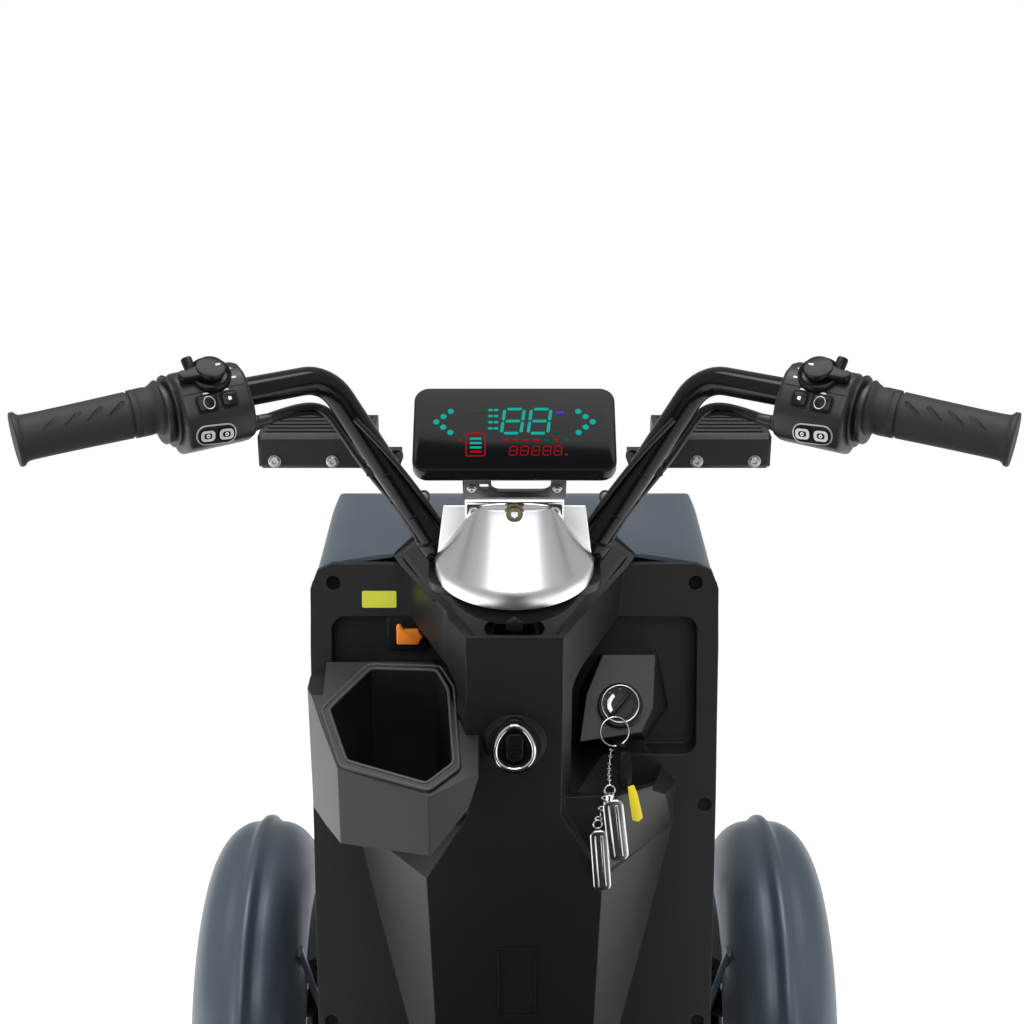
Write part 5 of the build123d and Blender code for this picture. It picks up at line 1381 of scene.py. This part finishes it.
dressed(settled(joined(emitters, "headlight_lights"), lamp_place), "headlight", clear)
glass = finish_nodes("clear_headlight_glass", (0.97, 0.98, 0.99), 0.03, drift=0.01)
glass_shader = glass.node_tree.nodes["Principled BSDF"]
glass_shader.inputs["Transmission Weight"].default_value = 0.96
glass_shader.inputs["IOR"].default_value = 1.30
dome = turned([(0.0540, 0.0065), (0.0535, 0.0085), (0.0480, 0.0110), (0.0380, 0.0135),
               (0.0250, 0.0152), (0.0120, 0.0159), (0.0010, 0.0160), (0.0010, 0.0145),
               (0.0120, 0.0144), (0.0250, 0.0137), (0.0380, 0.0120), (0.0480, 0.0092),
               (0.0525, 0.0065), (0.0540, 0.0065)], 96)
dome.name = "headlight_glass"
dressed(settled(dome, lamp_place), "headlight", glass, smooth=60)

# %% Tail lamps
low_corner, high_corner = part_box("tail_lamps")
tail_y, tail_z = low_corner[1], (low_corner[2] + high_corner[2]) / 2
tray_box = box((0.058, 0.010, 0.040), (0.139, tail_y + 0.0115, tail_z), 0.002)
dressed(both_sides(tray_box), "tail_lamps", gloss_button, replaces=True)
lens = box((0.054, 0.0085, 0.036), (0.139, tail_y + 0.0045, tail_z), 0.0032, 4)
ribs = [box((0.0016, 0.0010, 0.031), (0.118 + 0.0070 * n, tail_y + 0.0002, tail_z), 0.0003)
        for n in range(7)]
dressed(both_sides(joined([lens] + ribs, "tail_lenses")), "tail_lamps", smooth=40)

# %% [markdown]
# ## Seat
# A cushion is filled like a real one: its plain shape is remeshed evenly, then the cloth
# simulation blows it up a little while the seam lines are held, so the panels swell
# between them. The fine seams are pressed in afterwards, and a cord is laid as piping.

# %% The cushion recipe
FILL_PRESSURE, FILL_FRAMES = 4.0, 20


def near(value, aim, reach):
    """One close to a value, falling to nothing at a distance."""
    return max(0.0, 1.0 - abs(value - aim) / reach)


def seam_share(point, across, alongs, half_height, reach):
    """How near a point of a cushion's face is to one of its sewn seams, from 0 to 1."""
    share = 0.0
    if abs(point.y) < half_height:
        share = near(abs(point.x), across, reach)
    if abs(point.x) < across:
        for along in alongs:
            share = max(share, near(point.y, along, reach))
    return share


def filled(piece, seams, cell=0.006, rise=0.022):
    """Blows a closed mesh up by cloth simulation with its seams held, then smooths it."""
    applied(piece, "REMESH", mode="VOXEL", voxel_size=cell)
    start = [vertex.co.copy() for vertex in piece.data.vertices]
    held = piece.vertex_groups.new(name="held")
    for vertex in piece.data.vertices:
        share = seam_share(vertex.co, *seams, cell * 1.2) if seams and vertex.co.z > 0 else 0.0
        held.add([vertex.index], share, "REPLACE")
    cloth = piece.modifiers.new("fill", "CLOTH")
    cloth.settings.use_pressure = True
    cloth.settings.uniform_pressure_force = FILL_PRESSURE
    cloth.settings.quality = 6
    cloth.settings.vertex_group_mass = "held"
    cloth.settings.effector_weights.gravity = 0
    cloth.point_cache.frame_start = 1
    cloth.point_cache.frame_end = FILL_FRAMES
    for frame_number in range(1, FILL_FRAMES + 1):
        bpy.context.scene.frame_set(frame_number)
    bpy.ops.object.modifier_apply(modifier=cloth.name)
    for vertex, first in zip(piece.data.vertices, start):
        way = vertex.co - first
        if way.length > rise:
            vertex.co = first + way.normalized() * rise
    piece.vertex_groups.clear()
    return applied(piece, "SUBSURF", levels=1, render_levels=1)


def fitted(piece, size):
    """Scales a filled piece about its centre to a size, so it keeps clear of what is near."""
    spots = [vertex.co for vertex in piece.data.vertices]
    for axis in range(3):
        low, high = min(co[axis] for co in spots), max(co[axis] for co in spots)
        scale = size[axis] / (high - low)
        for co in spots:
            co[axis] = (co[axis] - (high + low) / 2) * scale
    return piece


def cushion(size, corner, edge, seams, cell, rise, name):
    """A filled cushion about its centre, its face upwards, with pressed seams."""
    start = [part * 0.965 for part in size]
    pad = slab(round_rectangle(start[0], start[1], corner, 8), start[2] * 0.9, edge, 4)
    pad = settled(pad, Matrix.Translation((0, 0, -start[2] * 0.45)))
    pad = fitted(filled(pad, seams, cell, rise), size)
    for vertex in pad.data.vertices:
        if seams and vertex.co.z > 0:
            vertex.co.z -= 0.0030 * seam_share(vertex.co, *seams, 0.0045) ** 2
    pad.name = name
    return pad


def piping(size, corner, level, radius=0.0026):
    """A cord round a cushion's side, at a level above its middle. It keeps the plain
    outline, so it stands clear where the filled sides have pulled in."""
    cord = [(x, y, level) for x, y in round_rectangle(size[0] - 0.007, size[1] - 0.007, corner, 6)]
    return bent_tube(cord, radius, sides=8, closed=True, name="piping")


def sewn(node, size, place, corner, seams, cord_corner, levels, cord_name):
    """A whole cushion in its place: the filled pad for its node, and its piping."""
    pad = cushion(size, corner, 0.020, seams, 0.006, 0.022, node + "_filled")
    dressed(settled(pad, place), node, replaces=True, smooth=80)
    cords = joined([piping(size, cord_corner, level) for level in levels], cord_name)
    dressed(settled(cords, place), node, smooth=80)


# %% Seat cushion
low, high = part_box("seat_cushion")
size = [b - a - 0.001 for a, b in zip(low, high)]
place = Matrix.Translation((Vector(low) + Vector(high)) / 2)
seams = (0.100, (-0.110, 0.030), 0.165)
sewn("seat_cushion", size, place, 0.060, seams, 0.062, (-0.020, 0.014), "seat_piping")
print("seat cushion", size)

# %% Back cushion
size = (0.418, 0.386, 0.0600)
lean = math.atan2(0.024, 0.388)
place = axes_at((0, -0.529, 0.806), (0, math.cos(lean), math.sin(lean)))
seams = (0.092, (-0.075, 0.055), 0.150)
sewn("back_cushion", size, place, 0.055, seams, 0.058, (0.008,), "back_piping")

# %% Armrests
arm = box((0.012, 0.320, 0.022), (0.252, -0.423, 0.735), 0.0025, 3)
boss = settled(rounded(turned([(0.019, -0.011), (0.019, 0.011)], 40), 0.0015),
               axes_at((0.251, -0.583, 0.735), (1, 0, 0)))
arm_pin = bolt(axes_at((0.262, -0.583, 0.735), (1, 0, 0)), 0.0070, 0.0020)
arm = joined([arm, boss], "arm")
pad = cushion((0.0430, 0.2780, 0.0245), 0.018, 0.008, None, 0.004, 0.006, "pad")
pad = settled(pad, Matrix.Translation((0.252, -0.393, 0.7587)))
for side in ("right", "left"):
    flip = Matrix() if side == "right" else MIRROR
    node = "armrest_" + side
    for source, name, finish in ((arm, "arm", finishes["frame_paint"]), (arm_pin, "pin", zinc)):
        piece = copied(source, flip)
        piece.name = f"{node}_{name}"
        dressed(piece, node, finish, replaces=name == "arm")
    piece = copied(pad, flip)
    piece.name = node + "_pad"
    dressed(piece, node, smooth=80)
for source in (arm, arm_pin, pad):
    bpy.data.objects.remove(source)

# %% [markdown]
# ## The box behind the seat
# Raised ribs stiffen the box's walls, a lock barrel sits in its back wall, and two round
# reflectors face backwards. The reflector is modelled once and copied.

# %% Box details
ribs = []
for level in (0.520, 0.556, 0.592):
    ribs.append(box((0.300, 0.0030, 0.008), (0, -0.8008, level), 0.0013))
    for side in (-1, 1):
        ribs.append(box((0.0030, 0.100, 0.008), (side * 0.1908, -0.730, level), 0.0013))
dressed(joined(ribs, "box_ribs"), "rear_box")
barrel = turned([(0.0125, 0), (0.0125, 0.0016), (0.0105, 0.0030), (0.0085, 0.0030),
                 (0.0080, 0.0024), (0.0010, 0.0024)], 48)
slot = settled(slab(round_rectangle(0.0016, 0.0090, 0.0007), 0.003), Matrix.Translation((0, 0, 0.001)))
lock = settled(cut(barrel, slot), axes_at((0, -0.7995, 0.633), (0, -1, 0)))
lock.name = "box_lock"
dressed(lock, "rear_box", chrome)
reflector = turned([(0.0170, 0), (0.0170, 0.0020), (0.0155, 0.0032), (0.0148, 0.0024),
                    (0.0140, 0.0034), (0.0010, 0.0040)], 48)
reflector = settled(reflector, axes_at((0.155, -0.7995, 0.500), (0, -1, 0)))
reflector.name = "reflectors"
dressed(both_sides(reflector), "rear_box", finishes["lamp_red"])
for side in (-1, 1):
    plate = box((0.044, 0.0020, 0.0160), (side * 0.095, -0.6575, 0.650), 0.0006)
    plate.name = f"hinge_leaf_{'left' if side < 0 else 'right'}"
    dressed(plate, "rear_box", zinc)
